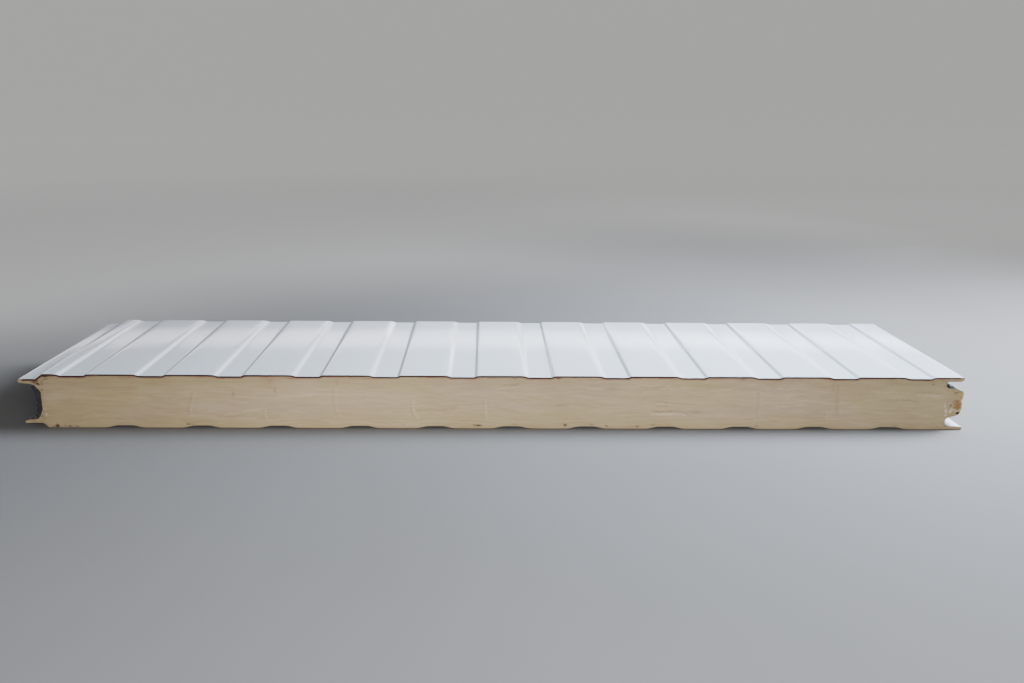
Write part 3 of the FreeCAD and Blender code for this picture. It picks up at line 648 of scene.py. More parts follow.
# ------------------------------------------------------------------ the foam core
# what the saw and the foaming left on the front face, in section millimetres
KNIT = [  # (points, strength, width, rose)
    ([(-325, 43), (-328, 33), (-331.5, 22), (-331, 11)], 0.35, 1.5, 0.15),
    ([(-251, 24), (-252, 16), (-249.5, 9)], 0.30, 1.4, 0.0),
    ([(-175.5, 50), (-176, 36), (-175.5, 24), (-173.5, 16), (-169.5, 10)], 0.27, 1.5, 0.1),
    ([(-93, 35), (-93, 24), (-91, 16), (-86.5, 9.5)], 0.42, 1.3, 0.0),
    ([(-14.5, 34), (-14.5, 18), (-13, 8)], 0.42, 1.3, 0.0),
    ([(-17.5, 22), (-17, 10)], 0.18, 1.0, 0.0),
    ([(284, 48), (284.5, 30), (283.5, 13)], 0.20, 1.4, 0.16),
    ([(279, 16), (279, 5)], 0.20, 1.2, 0.0),
    ([(371, 56), (370.5, 40), (371.5, 28), (372.5, 14)], 0.22, 1.4, 0.28),
    ([(365.5, 55), (365, 42)], 0.12, 1.6, 0.25),
    ([(359, 20), (358.5, 9)], 0.20, 1.1, 0.0),
]
STREAK = [  # (points, tone, half width, relief)
    ([(163, 20.4), (178, 20.0), (192, 20.5), (206, 19.4), (224, 19.4)], -0.36, 0.9, 0.24),
    ([(163, 17.4), (178, 17.0), (191, 17.2), (206, 16.0)], 0.46, 1.25, -0.05),
    ([(171, 29.6), (183, 28.2)], 0.35, 0.7, 0.0), ([(170, 31.6), (184, 30.6)], -0.20, 0.7, 0.06),
    ([(171, 27.2), (184, 26.2)], -0.20, 0.6, 0.05),
    ([(152, 50.4), (165, 49.2), (178, 50.2), (188, 48.6)], 0.38, 0.7, 0.0),
    ([(150, 48.4), (164, 47.3), (180, 48.4)], -0.22, 0.7, 0.06),
    ([(174, 46.6), (186, 46.0), (196, 44.4)], 0.28, 0.8, 0.0),
    ([(95, 46.4), (104, 45.6), (113, 46.2)], 0.34, 0.8, 0.0),
    ([(96, 49.6), (108, 48.4)], -0.22, 0.7, 0.05),
    ([(42, 35), (56, 36.2)], 0.26, 0.8, 0.0), ([(60, 26.6), (78, 28.2)], -0.2, 0.8, 0.05),
    ([(-8, 44.6), (10, 46.8), (22, 46.4)], 0.26, 0.8, 0.0), ([(4, 49.6), (24, 51.0)], -0.26, 0.9, 0.05),
    ([(-300, 14.5), (-282, 17.0), (-262, 21.0), (-250, 22.0)], 0.30, 0.8, 0.0),
    ([(-306, 12.5), (-286, 13.6), (-270, 15.5)], -0.14, 0.8, 0.04),
    ([(-72, 17.4), (-60, 17.8)], 0.36, 0.7, 0.0), ([(-95, 20.0), (-62, 21.5), (-30, 24.0)], -0.16, 0.8, 0.05),
    ([(-48, 23.8), (-20, 26.2), (0, 27.4)], 0.24, 0.8, 0.0),
    ([(300, 48.2), (314, 45.2), (326, 47.0)], 0.24, 0.8, 0.0), ([(302, 36.6), (318, 35.4)], 0.28, 0.7, 0.0),
    ([(300, 27.4), (316, 26.2)], 0.26, 0.7, 0.0), ([(372, 31.4), (386, 30.4)], 0.32, 0.7, 0.0),
    ([(372, 20.4), (386, 19.4)], 0.30, 0.8, 0.0), ([(402, 44.0), (420, 42.4), (436, 44.0)], 0.24, 0.8, 0.0),
    ([(455, 40.4), (488, 38.4)], 0.34, 0.9, 0.0), ([(448, 43.0), (486, 42.0)], -0.20, 0.8, 0.04),
    ([(430, 34.6), (462, 32.4)], -0.18, 0.9, 0.05), ([(440, 28.2), (470, 26.0)], 0.20, 0.8, 0.0),
    ([(414, 22.0), (452, 20.6)], -0.16, 0.8, 0.04), ([(455, 18.4), (480, 14.4)], 0.22, 0.8, 0.0),
    ([(-285, 10.6), (-262, 11.4)], 0.22, 0.8, 0.0), ([(-240, 36.0), (-196, 38.0)], 0.20, 1.6, 0.0),
]
PIT = [  # (x, z, half width, half height, dark, depth)
    (-461, 1.9, 1.6, .9, .6, .4), (-453.5, 1.8, 2.0, .8, .5, .3),
    (-335, 4.4, 2.4, .9, .65, .4), (-330.5, 4.0, 1.2, .7, .4, .2), (-285, 38.0, 1.3, 2.0, .26, .4),
    (-284.4, 40.4, .8, .9, .14, .2), (-22.4, 3.6, 3.4, .85, 1.0, .7), (-27, 4.2, 1.6, .5, .5, .2),
    (72.2, 4.2, 1.9, 1.1, .95, .6), (17, 5.2, 2.6, .6, .4, .2), (101.5, 4.9, 2.0, .6, .55, .3),
    (117.6, 3.4, 1.3, .9, .7, .4), (151.3, 3.1, 1.6, .9, .75, .4), (168.5, 4.8, 2.2, .6, .5, .3),
    (186, 4.7, 1.8, .5, .3, .2), (-240.5, 42.5, 1.0, 1.6, .18, .1), (63.6, 57.4, 2.3, 1.0, .9, .5),
    (16.5, 57.4, 2.6, .8, .45, .3), (473, 52.4, 1.6, .55, .4, .3),
    (264, 57.0, 2.4, .8, .5, .2), (-103.6, 4.4, 1.4, .5, .35, .2),
    (282.5, 3.9, 2.0, .7, .4, .2), (436, 4.4, 2.4, .5, .35, .2),
]
# both joint ends: (x, z, half width, half height, turn, tone, relief, amber, rose)
SPOT = [
    (-482.6, 57.7, 2.3, .8, 0, -1.3, .5, 0, 0), (-479.6, 58.1, 2.0, .45, 0, -.8, .2, 0, 0),
    (-481.6, 54.3, 2.6, .75, 12, -.42, .1, .1, 0), (-484.8, 53.0, 1.4, .6, -30, -.30, .1, .2, 0),
    (-493.0, 50.4, 3.8, 1.5, -24, -.60, .3, .15, .2), (-489.9, 48.7, 1.6, .9, -35, -.70, .4, .2, 0),
    (-492.6, 52.6, 2.6, .55, 0, -1.1, .3, 0, 0), (-486.6, 51.2, 1.0, 1.7, 20, -.25, .2, .35, 0),
    (-485.9, 48.3, 2.4, .6, 24, -.30, .2, .55, 0), (-487.6, 46.4, 1.5, .6, -10, .05, 0, .50, 0),
    (-484.0, 50.1, .8, .9, 0, .15, 0, .35, 0), (-486.9, 42.5, 1.4, .6, 10, -.60, .3, 0, .2),
    (-489.6, 43.4, 1.0, .5, -30, -.30, .1, 0, 0), (-486.6, 33.5, 1.6, 8.0, 3, -.04, 0, .24, 0),
    (-487.2, 39.0, .9, 2.0, 0, .10, 0, .30, 0), (-486.8, 21.6, .8, .9, 0, .40, -.05, .1, 0),
    (-488.5, 15.6, 1.0, 4.0, -15, .05, .3, -.2, .1), (-488.9, 17.4, .45, 1.6, -15, .40, -.05, 0, 0),
    (-487.6, 18.6, .35, 1.2, -10, -.6, .4, 0, .3), (-489.3, 14.2, .4, 1.2, -15, -.55, .4, 0, .2),
    (-484.9, 13.8, 1.0, 1.9, -20, .42, -.1, 0, 0), (-485.9, 12.2, .5, 1.6, -20, -.45, .3, .2, 0),
    (-483.9, 15.8, .5, 1.0, -20, .45, -.1, 0, 0), (-490.1, 12.6, .75, .6, 0, -.95, .5, 0, 0),
    (-483.4, 17.8, .55, .5, 0, -.7, .4, 0, 0), (-488.0, 22.4, .5, .5, 0, -.25, .2, .2, 0),
    (-490.0, 9.6, 3.0, .7, 12, .16, 0, .12, 0), (-493.5, 8.7, 1.5, .5, 10, .30, 0, .15, 0),
    (-505.0, 5.9, 2.4, .9, 8, .30, 0, -.15, 0), (-497.0, 6.8, 3.5, .8, 6, -.20, 0, .12, 0),
    (-489.5, 7.0, 3.0, 1.0, 0, -.12, 0, .18, 0), (-486.0, 4.0, 2.4, 1.0, -25, -.28, .1, .1, 0),
    (-491.6, 7.9, 1.3, .5, 8, -.36, .1, .1, 0), (-488.8, 10.1, 1.3, .5, 24, -.55, .3, .1, 0), (-499.5, 8.2, 2.4, .4, 10, -.40, .1, -.1, 0),
    (-482.0, 1.8, 2.2, .6, -10, .10, 0, 0, .1), (-474.4, 2.3, 2.1, 1.7, 0, -.85, .4, 0, .45),
    (-474.0, 1.5, 1.2, .8, 0, -.9, .4, 0, 0), (-478.4, 1.4, 2.0, .7, 0, -.45, .1, 0, .5),
    (-466.4, 2.4, 1.8, 1.0, 0, -.34, .2, 0, .7), (-470.5, 1.9, 1.6, .7, 0, -.22, 0, 0, .4),
    (-480.5, 2.6, 2.6, .7, -8, -.22, 0, -.1, .2), (-460.5, 1.6, 3.6, .8, 0, -.20, .1, 0, .3),
    (482.8, 57.8, 2.7, .85, 0, -.18, 0, 0, 1.3), (478.0, 57.6, 2.0, .7, 0, -.05, 0, 0, .5),
    (488.4, 58.0, 2.4, .6, 0, -.12, 0, .35, 0), (493.6, 57.2, 2.0, .5, 0, .25, 0, .15, 0),
    (501.6, 58.3, 1.4, .6, -20, -.25, .1, .35, 0), (503.6, 55.6, 1.5, .8, 10, .55, -.05, -.1, 0),
    (489.2, 51.0, .9, 2.2, 15, -1.35, .8, 0, 0), (487.4, 50.4, 1.0, .7, 0, -.55, .3, 0, 0),
    (487.9, 53.8, 1.2, .5, -20, -.45, .2, 0, .2), (491.9, 48.9, 2.2, .7, -14, -.55, .3, -.2, 0),
    (493.3, 50.4, .9, .5, -20, .40, 0, -.2, 0), (491.0, 51.2, .6, .8, 0, .30, 0, -.2, 0),
    (495.2, 47.2, 3.0, .5, -25, -.35, .2, 0, 0), (472.5, 52.3, 1.3, .5, 0, -.25, .1, 0, 0),
    (499.6, 42.5, 2.6, .7, 3, -.55, .2, 0, .1), (503.8, 43.8, 1.8, .5, -20, -.45, .2, 0, 0),
    (500.2, 40.2, 1.7, .4, 0, -.35, .1, 0, .6), (496.0, 45.0, 1.4, .5, 0, -.15, 0, .35, 0),
    (491.0, 44.6, 1.8, .6, 0, .05, 0, .30, 0), (507.4, 39.4, .9, 4.0, 0, .34, 0, .25, 0),
    (505.2, 38.2, 1.6, .8, 0, .08, 0, .30, .25), (507.2, 29.6, .5, 1.6, 0, .25, 0, .0, 0),
    (502.0, 33.0, 4.4, 1.0, 4, -.34, .2, .20, 0), (497.6, 31.8, 1.5, .8, -20, -.22, .2, .1, 0),
    (495.4, 27.9, 1.2, 1.3, 0, -.52, .4, .1, .1), (493.8, 30.2, .9, .7, 0, .26, 0, 0, 0),
    (491.4, 32.0, .9, .7, 0, -.34, .3, 0, 0), (496.3, 26.2, .7, .8, 0, -.30, .2, .2, 0),
    (489.0, 28.3, .8, 2.0, 8, .46, -.1, 0, 0), (490.4, 27.0, .5, 1.6, 8, .25, 0, 0, 0),
    (491.2, 21.9, 1.25, 2.2, -4, 1.10, -.2, .05, 0), (495.8, 21.5, 1.6, 1.9, -25, 1.45, -.2, .05, 0),
    (493.4, 22.6, .5, 1.3, 0, -.30, .3, .2, 0), (498.8, 23.0, 2.0, .9, 0, .60, -.1, .1, 0),
    (502.6, 21.9, 2.4, .8, 8, 1.00, -.2, .0, 0), (499.2, 21.2, 1.0, 1.0, 0, .10, .2, .3, 0),
    (506.1, 23.0, 1.1, 1.0, 0, .90, 0, .1, 0), (505.3, 19.05, 2.1, .85, -3, -3.2, 3.2, 0, 0),
    (499.0, 18.2, .65, .5, 0, -.85, .6, 0, 0), (491.5, 17.2, 1.2, 1.6, -20, .95, -.1, .15, 0),
    (493.8, 17.6, 1.3, .5, 0, .28, 0, .2, 0), (496.8, 16.4, 1.4, .6, 0, .18, 0, .3, 0),
    (502.2, 17.0, 2.4, .6, 20, .24, 0, .25, 0), (500.6, 19.4, 1.0, .7, 0, .2, 0, .3, 0),
    (497.0, 24.4, 2.6, .8, -10, .42, -.1, .05, 0), (489.3, 24.6, .7, 1.6, 0, .30, 0, .1, 0),
    (505.4, 31.6, 1.2, 2.3, 35, .90, -.1, .0, 0), (507.3, 28.4, 1.2, 1.6, 0, 1.00, -.1, .0, 0), (506.2, 19.2, 1.3, .75, 0, -3.0, 3.0, 0, 0),
    (492.8, 4.4, 1.8, 1.5, -20, -.20, .1, .80, 0), (489.0, 6.8, 1.1, .9, 0, -.25, .1, .3, 0),
    (491.2, 9.6, .7, 1.8, 0, -.50, .3, 0, 0), (486.5, 2.0, 4.0, .7, 0, .08, 0, .3, .3),
    (499.0, 2.2, 5.0, .7, 0, .06, 0, .25, .2), (506.0, 2.2, 2.0, .7, 0, .0, 0, .2, .4),
]
ROSE = [  # (x, z, half width, half height, strength)
    (-240.5, 43.6, 2.0, 3.6, .75), (-246, 52, 3.0, 2.6, .5), (-173.8, 51.6, 2.0, 3.2, .7),
    (121, 46, 6.5, 3.2, .55), (158, 34.8, 1.6, 1.5, .55), (-231, 56.4, 14, 1.6, .6), (-148, 56.0, 16, 1.6, .7),
    (-140, 56, 7, 1.2, .6), (-318, 56.8, 10, 1.5, .6), (-398, 57, 12, 1.6, .75), (145, 2.9, 9, .8, .95),
    (322, 56.8, 10, 1.6, .45), (-420, 52, 8, 3, .35), (-395, 44, 12, 6, .22), (110, 57, 8, 1.2, .5),
    (262, 56.6, 9, 1.8, .55), (366, 56.6, 8, 1.6, .4), (-60, 56.4, 12, 1.4, .4), (485, 3.0, 14, 1.6, .7),
    (-211, 57.0, 14, 1.0, 1.5), (-222, 56.4, 4, 2.2, .9), (208, 56.8, 8, 1.0, 1.1), (190, 57.2, 6, 1.0, .9),
    (-292, 57.0, 12, 1.1, .8), (-245, 55.0, 9, 3.4, .6), (-388, 56.7, 26, 1.0, 1.0), (372, 56.2, 11, 1.0, .7),
    (301, 56.4, 8, 1.0, .7), (45, 56.4, 12, .9, .8), (-4, 57.7, 14, .9, .8), (137, 57.4, 10, .9, .8),
    (151, 3.0, 14, .5, .9), (-20, 3.0, 8, .5, .5),
]


def seg_field(px, pz, pts, half):
    """1 on the line, falling to 0 at its half width; the line's ends fade."""
    best = np.zeros_like(px)
    side = np.zeros_like(px)
    seg = list(zip(pts[:-1], pts[1:]))
    total = sum(math.dist(a, b) for a, b in seg)
    run = 0.0
    for a, b in seg:
        ax, az = a
        dx, dz = b[0] - ax, b[1] - az
        L = math.hypot(dx, dz)
        t = np.clip(((px - ax) * dx + (pz - az) * dz) / (L * L), 0, 1)
        ex, ez = px - (ax + t * dx), pz - (az + t * dz)
        d = np.hypot(ex, ez)
        along = (run + t * L) / total
        v = np.exp(-(d / half) ** 2) * smooth(0, 0.14, along) * smooth(1, 0.86, along)
        best = np.maximum(best, v)
        run += L
    return best


def pale_and_lit_along(x):
    """The core is paler left of the middle and browner towards both joints, partly its own colour and partly painted
    light standing in for the front lamps' falloff.
    """
    return np.interp(x, [-490, -475, -395, -315, -235, -155, -75, 5, 85, 165, 245, 325, 405, 475, 492],
                     [.84, .86, .91, 1.0, 1.15, 1.20, 1.13, 1.07, 1.04, 1.06, 1.02, .94, .88, .84, .84])


def front_fields(px, pz, rim):
    """Tone, rose tint, amber, roughness and depth of the cut face at the given points."""
    warp = 1.2 * fbm(px / 9.0, 0.0, pz / 6.0, 81, 2)
    mark = np.zeros_like(px); rose = np.zeros_like(px); rec = np.zeros_like(px)
    for pts, s, w, r in KNIT:
        f = seg_field(px + 0.5 * warp, pz, pts, w)
        g = seg_field(px + 0.5 * warp + 2.1, pz, pts, w * 1.1)
        broken = np.clip(0.75 + 0.6 * gnoise(px / 3.0, 2.0, pz / 5.0, 51), 0.2, 1.2)
        mark += 0.75 * (s * f - 0.45 * s * g) * broken
        rose += r * (f + g)
        rec += 0.10 * g - 0.08 * f
    for pts, s, w, d in STREAK:
        f = seg_field(px, pz + 0.55 * warp + 0.35 * gnoise(px / 2.2, 9.0, pz / 1.4, 55), pts, w)
        mark += 1.0 * s * f * np.clip(0.80 + 0.8 * gnoise(px / 4.0, 5.0, pz / 1.5, 52), 0.15, 1.3)
        rec += d * f
    # each pit is painted darker too: painted shade in its hollow
    for x, z, rx, rz, dark, dep in PIT:
        q = ((px - x) / rx) ** 2 + ((pz - z) / rz) ** 2
        e = np.exp(-q * (1.0 + 0.45 * gnoise(px / 1.3, 1.0, pz / 0.9, 53)))
        mark -= dark * e * 1.25
        rec += dep * e
    for x, z, rx, rz, s in ROSE:
        q = ((px - x) / rx) ** 2 + ((pz - z) / rz) ** 2
        rose += s * np.exp(-q) * np.clip(0.8 + 0.5 * gnoise(px / 3.0, 4.0, pz / 2.0, 54), 0, 1.3)
    # both joint ends, torn and smeared; some dark spots are painted shade in the notches and under the folds, and some
    # bright spots are painted highlights on the torn crumbs and the tongue's rim
    amber = np.zeros_like(px); torn = np.zeros_like(px)
    jx, jz = 0.30 * gnoise(px / 1.6, 3.3, pz / 1.6, 61), 0.30 * gnoise(px / 1.6, 8.8, pz / 1.6, 62)
    for x, z, rx, rz, turn, tone, dep, am, ro in SPOT:
        c, t = math.cos(math.radians(turn)), math.sin(math.radians(turn))
        u, v = px - x + jx, pz - z + jz
        e = smooth(2.1, 0.35, ((u * c + v * t) / rx) ** 2 + ((v * c - u * t) / rz) ** 2)
        mark += tone * e
        rec += dep * e
        amber += am * e
        rose += ro * e
    d_rim = np.full_like(px, 9.0)
    k = np.flatnonzero(px > 494)
    d_rim[k] = np.sqrt(((px[k, None] - rim[None, :, 0]) ** 2 + (pz[k, None] - rim[None, :, 1]) ** 2).min(1))
    # painted highlight along the torn tongue's outline, where its edge catches the light
    lit = np.exp(-(d_rim / (0.85 + 0.40 * smooth(37, 31, pz))) ** 2) * smooth(20.5, 23.0, pz) * smooth(45.5, 43.0, pz)
    mark += lit * (1.45 - 0.60 * smooth(33, 35, pz))
    amber += lit * (0.10 + 0.30 * smooth(32, 36, pz))
    q = ((px - 503.5) / 5.8) ** 2 + ((pz - 28.9) / 6.6) ** 2
    hollow = smooth(1.25, 0.10, q + 0.30 * gnoise(px / 2.4, 0.7, pz / 2.4, 63))
    rough = fbm(px / 2.1, 3.0, pz / 2.1, 64, 3)
    spots = gnoise(px / 1.5, 6.0, pz / 1.5, 65)
    rec += hollow * (1.0 + 0.7 * rough)
    mark += hollow * 0.10 * spots
    amber += hollow * (1 - 0.8 * lit) * (0.70 + 0.18 * rough + 0.50 * np.exp(-(((px - 505.0) / 2.4) ** 2 + ((pz - 26.8) / 3.4) ** 2)))
    zone = smooth(486.5, 489.5, px + 0.5 * spots) * smooth(35.0, 31.5, pz) * smooth(13.0, 15.0, pz)
    crumb = zone * (1 - hollow)
    rec += crumb * 0.42 * np.abs(rough)
    mark += crumb * 0.22 * spots
    amber += 0.20 * smooth(484, 500, px) * (0.8 + 0.5 * fbm(px / 6.0, 1.0, pz / 4.0, 66, 2))
    amber += 0.15 * smooth(-477, -487, px) * (0.8 + 0.6 * fbm(px / 4.0, 1.5, pz / 5.0, 67, 2))
    amber = np.clip(amber, 0, 1) * np.where(px < -470, 0.45, 1.0)
    torn = np.clip(hollow + 0.7 * crumb + 0.4 * smooth(500, 507, px) * smooth(48, 44, pz)
                   + 0.8 * np.exp(-(((px + 487) / 3.0) ** 2 + ((pz - 15.5) / 4.5) ** 2)), 0, 1)
    rec = np.where(px > 494, np.minimum(rec, 0.15 + 1.7 * np.maximum(0, d_rim - 0.35)), rec)
    # general saw relief
    wz = pz + 2.5 * fbm(px / 60.0, 0.0, pz / 25.0, 70, 2)
    rec += 0.10 + 0.10 * fbm(px / 28.0, 0.0, wz / 3.2, 71, 2) + 0.05 * fbm(px / 7.0, 0.0, wz / 2.2, 72, 1)
    return mark, rose, amber, torn, rec


def back_fields(px, pz, rim):
    warp = 1.2 * fbm(px / 9.0, 9.0, pz / 6.0, 181, 2)
    mark = np.zeros_like(px); rose = np.zeros_like(px); rec = np.zeros_like(px)
    for k in range(12):
        x0 = -455 + 81.5 * k + 8 * math.sin(3.1 * k)
        pts = [(x0 + 2, 48 - 5 * (k % 3)), (x0, 30), (x0 + 1.5, 17), (x0 + 6, 9)]
        f = seg_field(px + 0.5 * warp, pz, pts, 2.0)
        g = seg_field(px + 0.5 * warp + 2.6, pz, pts, 2.2)
        mark += (0.36 * f - 0.16 * g) * (0.7 + 0.3 * math.sin(5.3 * k))
        rec += 0.10 * g - 0.08 * f
    rnd = np.random.default_rng(77)
    # random pits, each painted darker as painted shade in its hollow
    for k in range(30):
        x, z = rnd.uniform(-480, 480), (rnd.uniform(2.5, 5.5) if k % 3 else rnd.uniform(10, 56))
        rx, rz = rnd.uniform(1.6, 3.6), rnd.uniform(0.9, 1.6)
        e = np.exp(-((px - x) / rx) ** 2 - ((pz - z) / rz) ** 2)
        mark -= rnd.uniform(.3, .9) * e
        rec += rnd.uniform(.2, .5) * e
    for k in range(34):
        x, z, L = rnd.uniform(-470, 450), rnd.uniform(8, 52), rnd.uniform(12, 40)
        s = rnd.uniform(-0.25, 0.34)
        f = seg_field(px, pz + 0.4 * warp, [(x, z), (x + L / 2, z + rnd.uniform(-1.5, 1.5)), (x + L, z)], 1.3)
        mark += s * f
        rec += (0.12 if s < 0 else 0.0) * f
    for k in range(12):
        x = FIRST + PITCH * k + 14
        rose += 0.6 * np.exp(-((px - x) / 13) ** 2 - ((pz - 56.6) / 1.6) ** 2)
    q = ((px - 503.5) / 5.0) ** 2 + ((pz - 37.0) / 4.6) ** 2
    hole = smooth(1.25, 0.15, q + 0.35 * gnoise(px / 2.4, 5.7, pz / 2.4, 161))
    rough = fbm(px / 2.1, 13.0, pz / 2.1, 164, 3)
    rec += hole * (1.3 + 0.9 * rough)
    amber = np.clip(hole * (0.7 + 0.5 * rough), 0, 1)
    amber = np.maximum(amber, 0.22 * smooth(484, 504, px) + 0.16 * smooth(-476, -487, px))
    torn = np.clip(hole + 0.5 * smooth(500, 507, px), 0, 1)
    wz = pz + 2.5 * fbm(px / 60.0, 4.0, pz / 25.0, 170, 2)
    rec += 0.10 + 0.11 * fbm(px / 28.0, 4.0, wz / 4.0, 171, 2)
    return mark, rose, amber, torn, rec


def nib_depth(s_frac, bx, bz, y):
    """How far the torn tongue face lies inside its full outline, in millimetres."""
    fade = smooth(0.0, 0.05, s_frac) * smooth(1.0, 0.95, s_frac)
    a = np.abs(fbm(bx / 7.0, y / 8.0, bz / 7.0, 91, 2))
    b = np.abs(gnoise(bx / 2.6, y / 2.6, bz / 2.6, 93))
    c = np.abs(gnoise(bx / 1.2, y / 1.2, bz / 1.2, 94))
    deep = smooth(0.55, 0.95, 0.5 + 0.5 * fbm(bx / 11.0, y / 16.0, bz / 9.0, 95, 2))
    free = 0.10 + 0.95 * a + 0.55 * b + 0.22 * c + 2.4 * deep
    zk = [14.8, 15.6, 17.0, 18.2, 18.9, 19.5, 20.1, 21.0, 22.2, 23.2, 24, 25.5, 27, 28, 29.4, 30.6, 31.8, 33, 34.3, 36, 38, 40, 42, 43.4, 44.6]
    dk = [0, .20, .10, .15, .30, .40, .35, .30, .50, .45, .12, .15, .55, .25, .0, .40, 1.20, 1.45, 1.15, .40, .08, .0, .0, .05, 0]
    seen = np.interp(bz, zk, dk) + 0.10 * c
    w = smooth(Y0 + 2.5, Y0 + 13.0, y)
    return fade * (seen * (1 - w) + np.minimum(free, 3.6) * w)


def foam_core():
    nib = even(fillet(NIB, 1.6), 0.55)
    wall = even(fillet(list(reversed(WALL)), 1.2), 1.3)
    top = divide(OUT_Q, 1.2)
    low = divide(IN_Q, 1.3)[::-1]
    loop = np.vstack([OUT_P[:1], top, nib, low, wall[:-1]])
    a = 1 + len(top)                                     # first nib point
    b = a + len(nib) - 1                                 # last nib point
    kind = np.array([1] * (1 + len(top)) + [3] * len(nib) + [2] * len(low) + [0] * (len(wall) - 1))
    keep = [0]
    for i in range(1, len(loop)):                        # no two points closer than a hair
        if np.hypot(*(loop[i] - loop[keep[-1]])) > 0.12 or i in (a, b):
            keep.append(i)
    a, b = keep.index(a), keep.index(b)
    loop, kind = loop[keep], kind[keep]
    n = len(loop)
    nn, _ = normals(nib)                                 # left normals point outward here
    ncol = b - a + 1
    nx, nz = loop[a:b + 1, 0], loop[a:b + 1, 1]
    nrm = np.array([nn[np.argmin(np.hypot(nib[:, 0] - x, nib[:, 1] - z))] for x, z in zip(nx, nz)])
    frac = np.linspace(0, 1, ncol)
    ts = np.r_[0, np.linspace(0.004, 0.996, 196), 1.0]
    up = np.array([q for q, u in zip(OUT_Q, OUT_N) if u[1] > 0.3 and q[1] > 52.5 and -506.0 < q[0] < 505.5])
    dense = divide(up, 0.5)
    tree_top = KDTree(len(dense))
    for i, p in enumerate(dense):
        tree_top.insert((p[0], p[1], 0), i)
    tree_top.balance()
    dense_l = divide(IN_Q, 0.5)
    tree_low = KDTree(len(dense_l))
    for i, p in enumerate(dense_l):
        tree_low.insert((p[0], p[1], 0), i)
    tree_low.balance()

    def face(ring0, step, rows):
        """Triangulated cut face: boundary, rows under the facings, then an even hex grid."""
        cell = {}
        pts = []

        def free(x, z, r):
            cx, cz = int(math.floor(x / 1.2)), int(math.floor(z / 1.2))
            k = int(math.ceil(r / 1.2))
            for i in range(cx - k, cx + k + 1):
                for j in range(cz - k, cz + k + 1):
                    for q in cell.get((i, j), ()):
                        if (q[0] - x) ** 2 + (q[1] - z) ** 2 < r * r:
                            return False
            return True

        def put(x, z):
            cell.setdefault((int(math.floor(x / 1.2)), int(math.floor(z / 1.2))), []).append((x, z))

        for x, z in ring0:
            put(x, z)
        q = divide(OUT_Q, 1.2)
        nq, _ = normals(q)
        for d in rows:
            for (x, z), (ux, uz) in zip(q, nq):
                px, pz = x - ux * d, z - uz * d
                if free(px, pz, 0.72 * d if d < 1.2 else 0.85):
                    put(px, pz); pts.append((px, pz))
        q = divide(IN_Q, 1.3)
        nq, _ = normals(q)
        for (x, z), (ux, uz) in zip(q, nq):
            px, pz = x + ux * 0.6, z + uz * 0.6
            if free(px, pz, 0.45):
                put(px, pz); pts.append((px, pz))
        h = step * 0.8660254
        rows_n = int(62 / h)
        for r in range(rows_n):
            z = 0.3 + r * h
            for c in range(int(1024 / step)):
                x = -512 + (c + 0.5 * (r % 2)) * step
                px = x + 0.16 * step * math.sin(12.9898 * c + 78.233 * r)
                pz = z + 0.16 * step * math.sin(39.346 * c + 11.135 * r)
                if free(px, pz, 0.66 * step):
                    put(px, pz); pts.append((px, pz))
        P = [Vector((float(x), float(z))) for x, z in ring0] + [Vector(p) for p in pts]
        vc, _e, fc, ov, _oe, _of = delaunay_2d_cdt(P, [], [list(range(len(ring0)))], 1, 1e-5)
        back = {}
        for i, o in enumerate(ov):
            for k in o:
                if k < len(ring0):
                    back[k] = i
        used = sorted({i for f in fc for i in f})
        return np.array([(v[0], v[1]) for v in vc]), fc, back, used

    def ring_xy(y_end):
        r = loop.copy()
        d = nib_depth(frac, nx, nz, np.full(ncol, y_end))
        r[a:b + 1] -= nrm * d[:, None]
        return r

    r_front, r_back = ring_xy(Y0), ring_xy(Y1)
    vf, ff, mf, uf = face(r_front, 1.17, (0.45, 0.95, 1.6, 2.4))
    vb, fb, mb, ub = face(r_back, 2.3, (0.6, 1.5))

    def dist(tree, pts):
        return np.array([tree.find((x, z, 0))[2] for x, z in pts])

    verts, attrs = [], {k: [] for k in ("mark", "rose", "amber", "torn", "d_top", "d_bot", "pale")}

    def add(px, py, pz, mark, rose, amber, torn, dt, db):
        start = len(verts)
        verts.extend(zip(px, py, pz))
        for k, v in zip(attrs, (mark, rose, amber, torn, dt, db, pale_and_lit_along(px))):
            attrs[k].extend(np.broadcast_to(v, px.shape))
        return start

    faces = []
    ends = []
    for pts, fc, mp, used, fields, y_end, sg, rim in ((vf, ff, mf, uf, front_fields, Y0, 1.0, r_front[a:b + 1]),
                                                      (vb, fb, mb, ub, back_fields, Y1, -1.0, r_back[a:b + 1])):
        x, z = pts[:, 0], pts[:, 1]
        mark, rose, amber, torn, rec = fields(x, z, rim)
        dt, db = dist(tree_top, pts) * (1 + 0.55 * smooth(466, 482, x)), dist(tree_low, pts)
        seam = np.minimum(smooth(0.0, 1.3, dt), smooth(0.0, 1.0, db))
        rec = np.clip(rec, 0.0, 4.0) * (0.12 + 0.88 * seam)
        rec += 0.16 * np.exp(-((dt - 0.8) / 0.6) ** 2)       # the saw digs in just under the facing
        if sg > 0:
            for k, i in mp.items():
                if kind[k] in (1, 2):
                    rec[i] = 0.02
        else:
            for k, i in mp.items():
                if kind[k] in (1, 2):
                    rec[i] = 0.02
        s0 = add(x, y_end + sg * rec, z, mark, rose, amber, torn, dt, db)
        for f in fc:
            f = [s0 + i for i in f]
            faces.append(f if sg > 0 else f[::-1])
        ends.append([s0 + mp[k] for k in range(n)])
    front, back = ends
    V = np.array(verts)
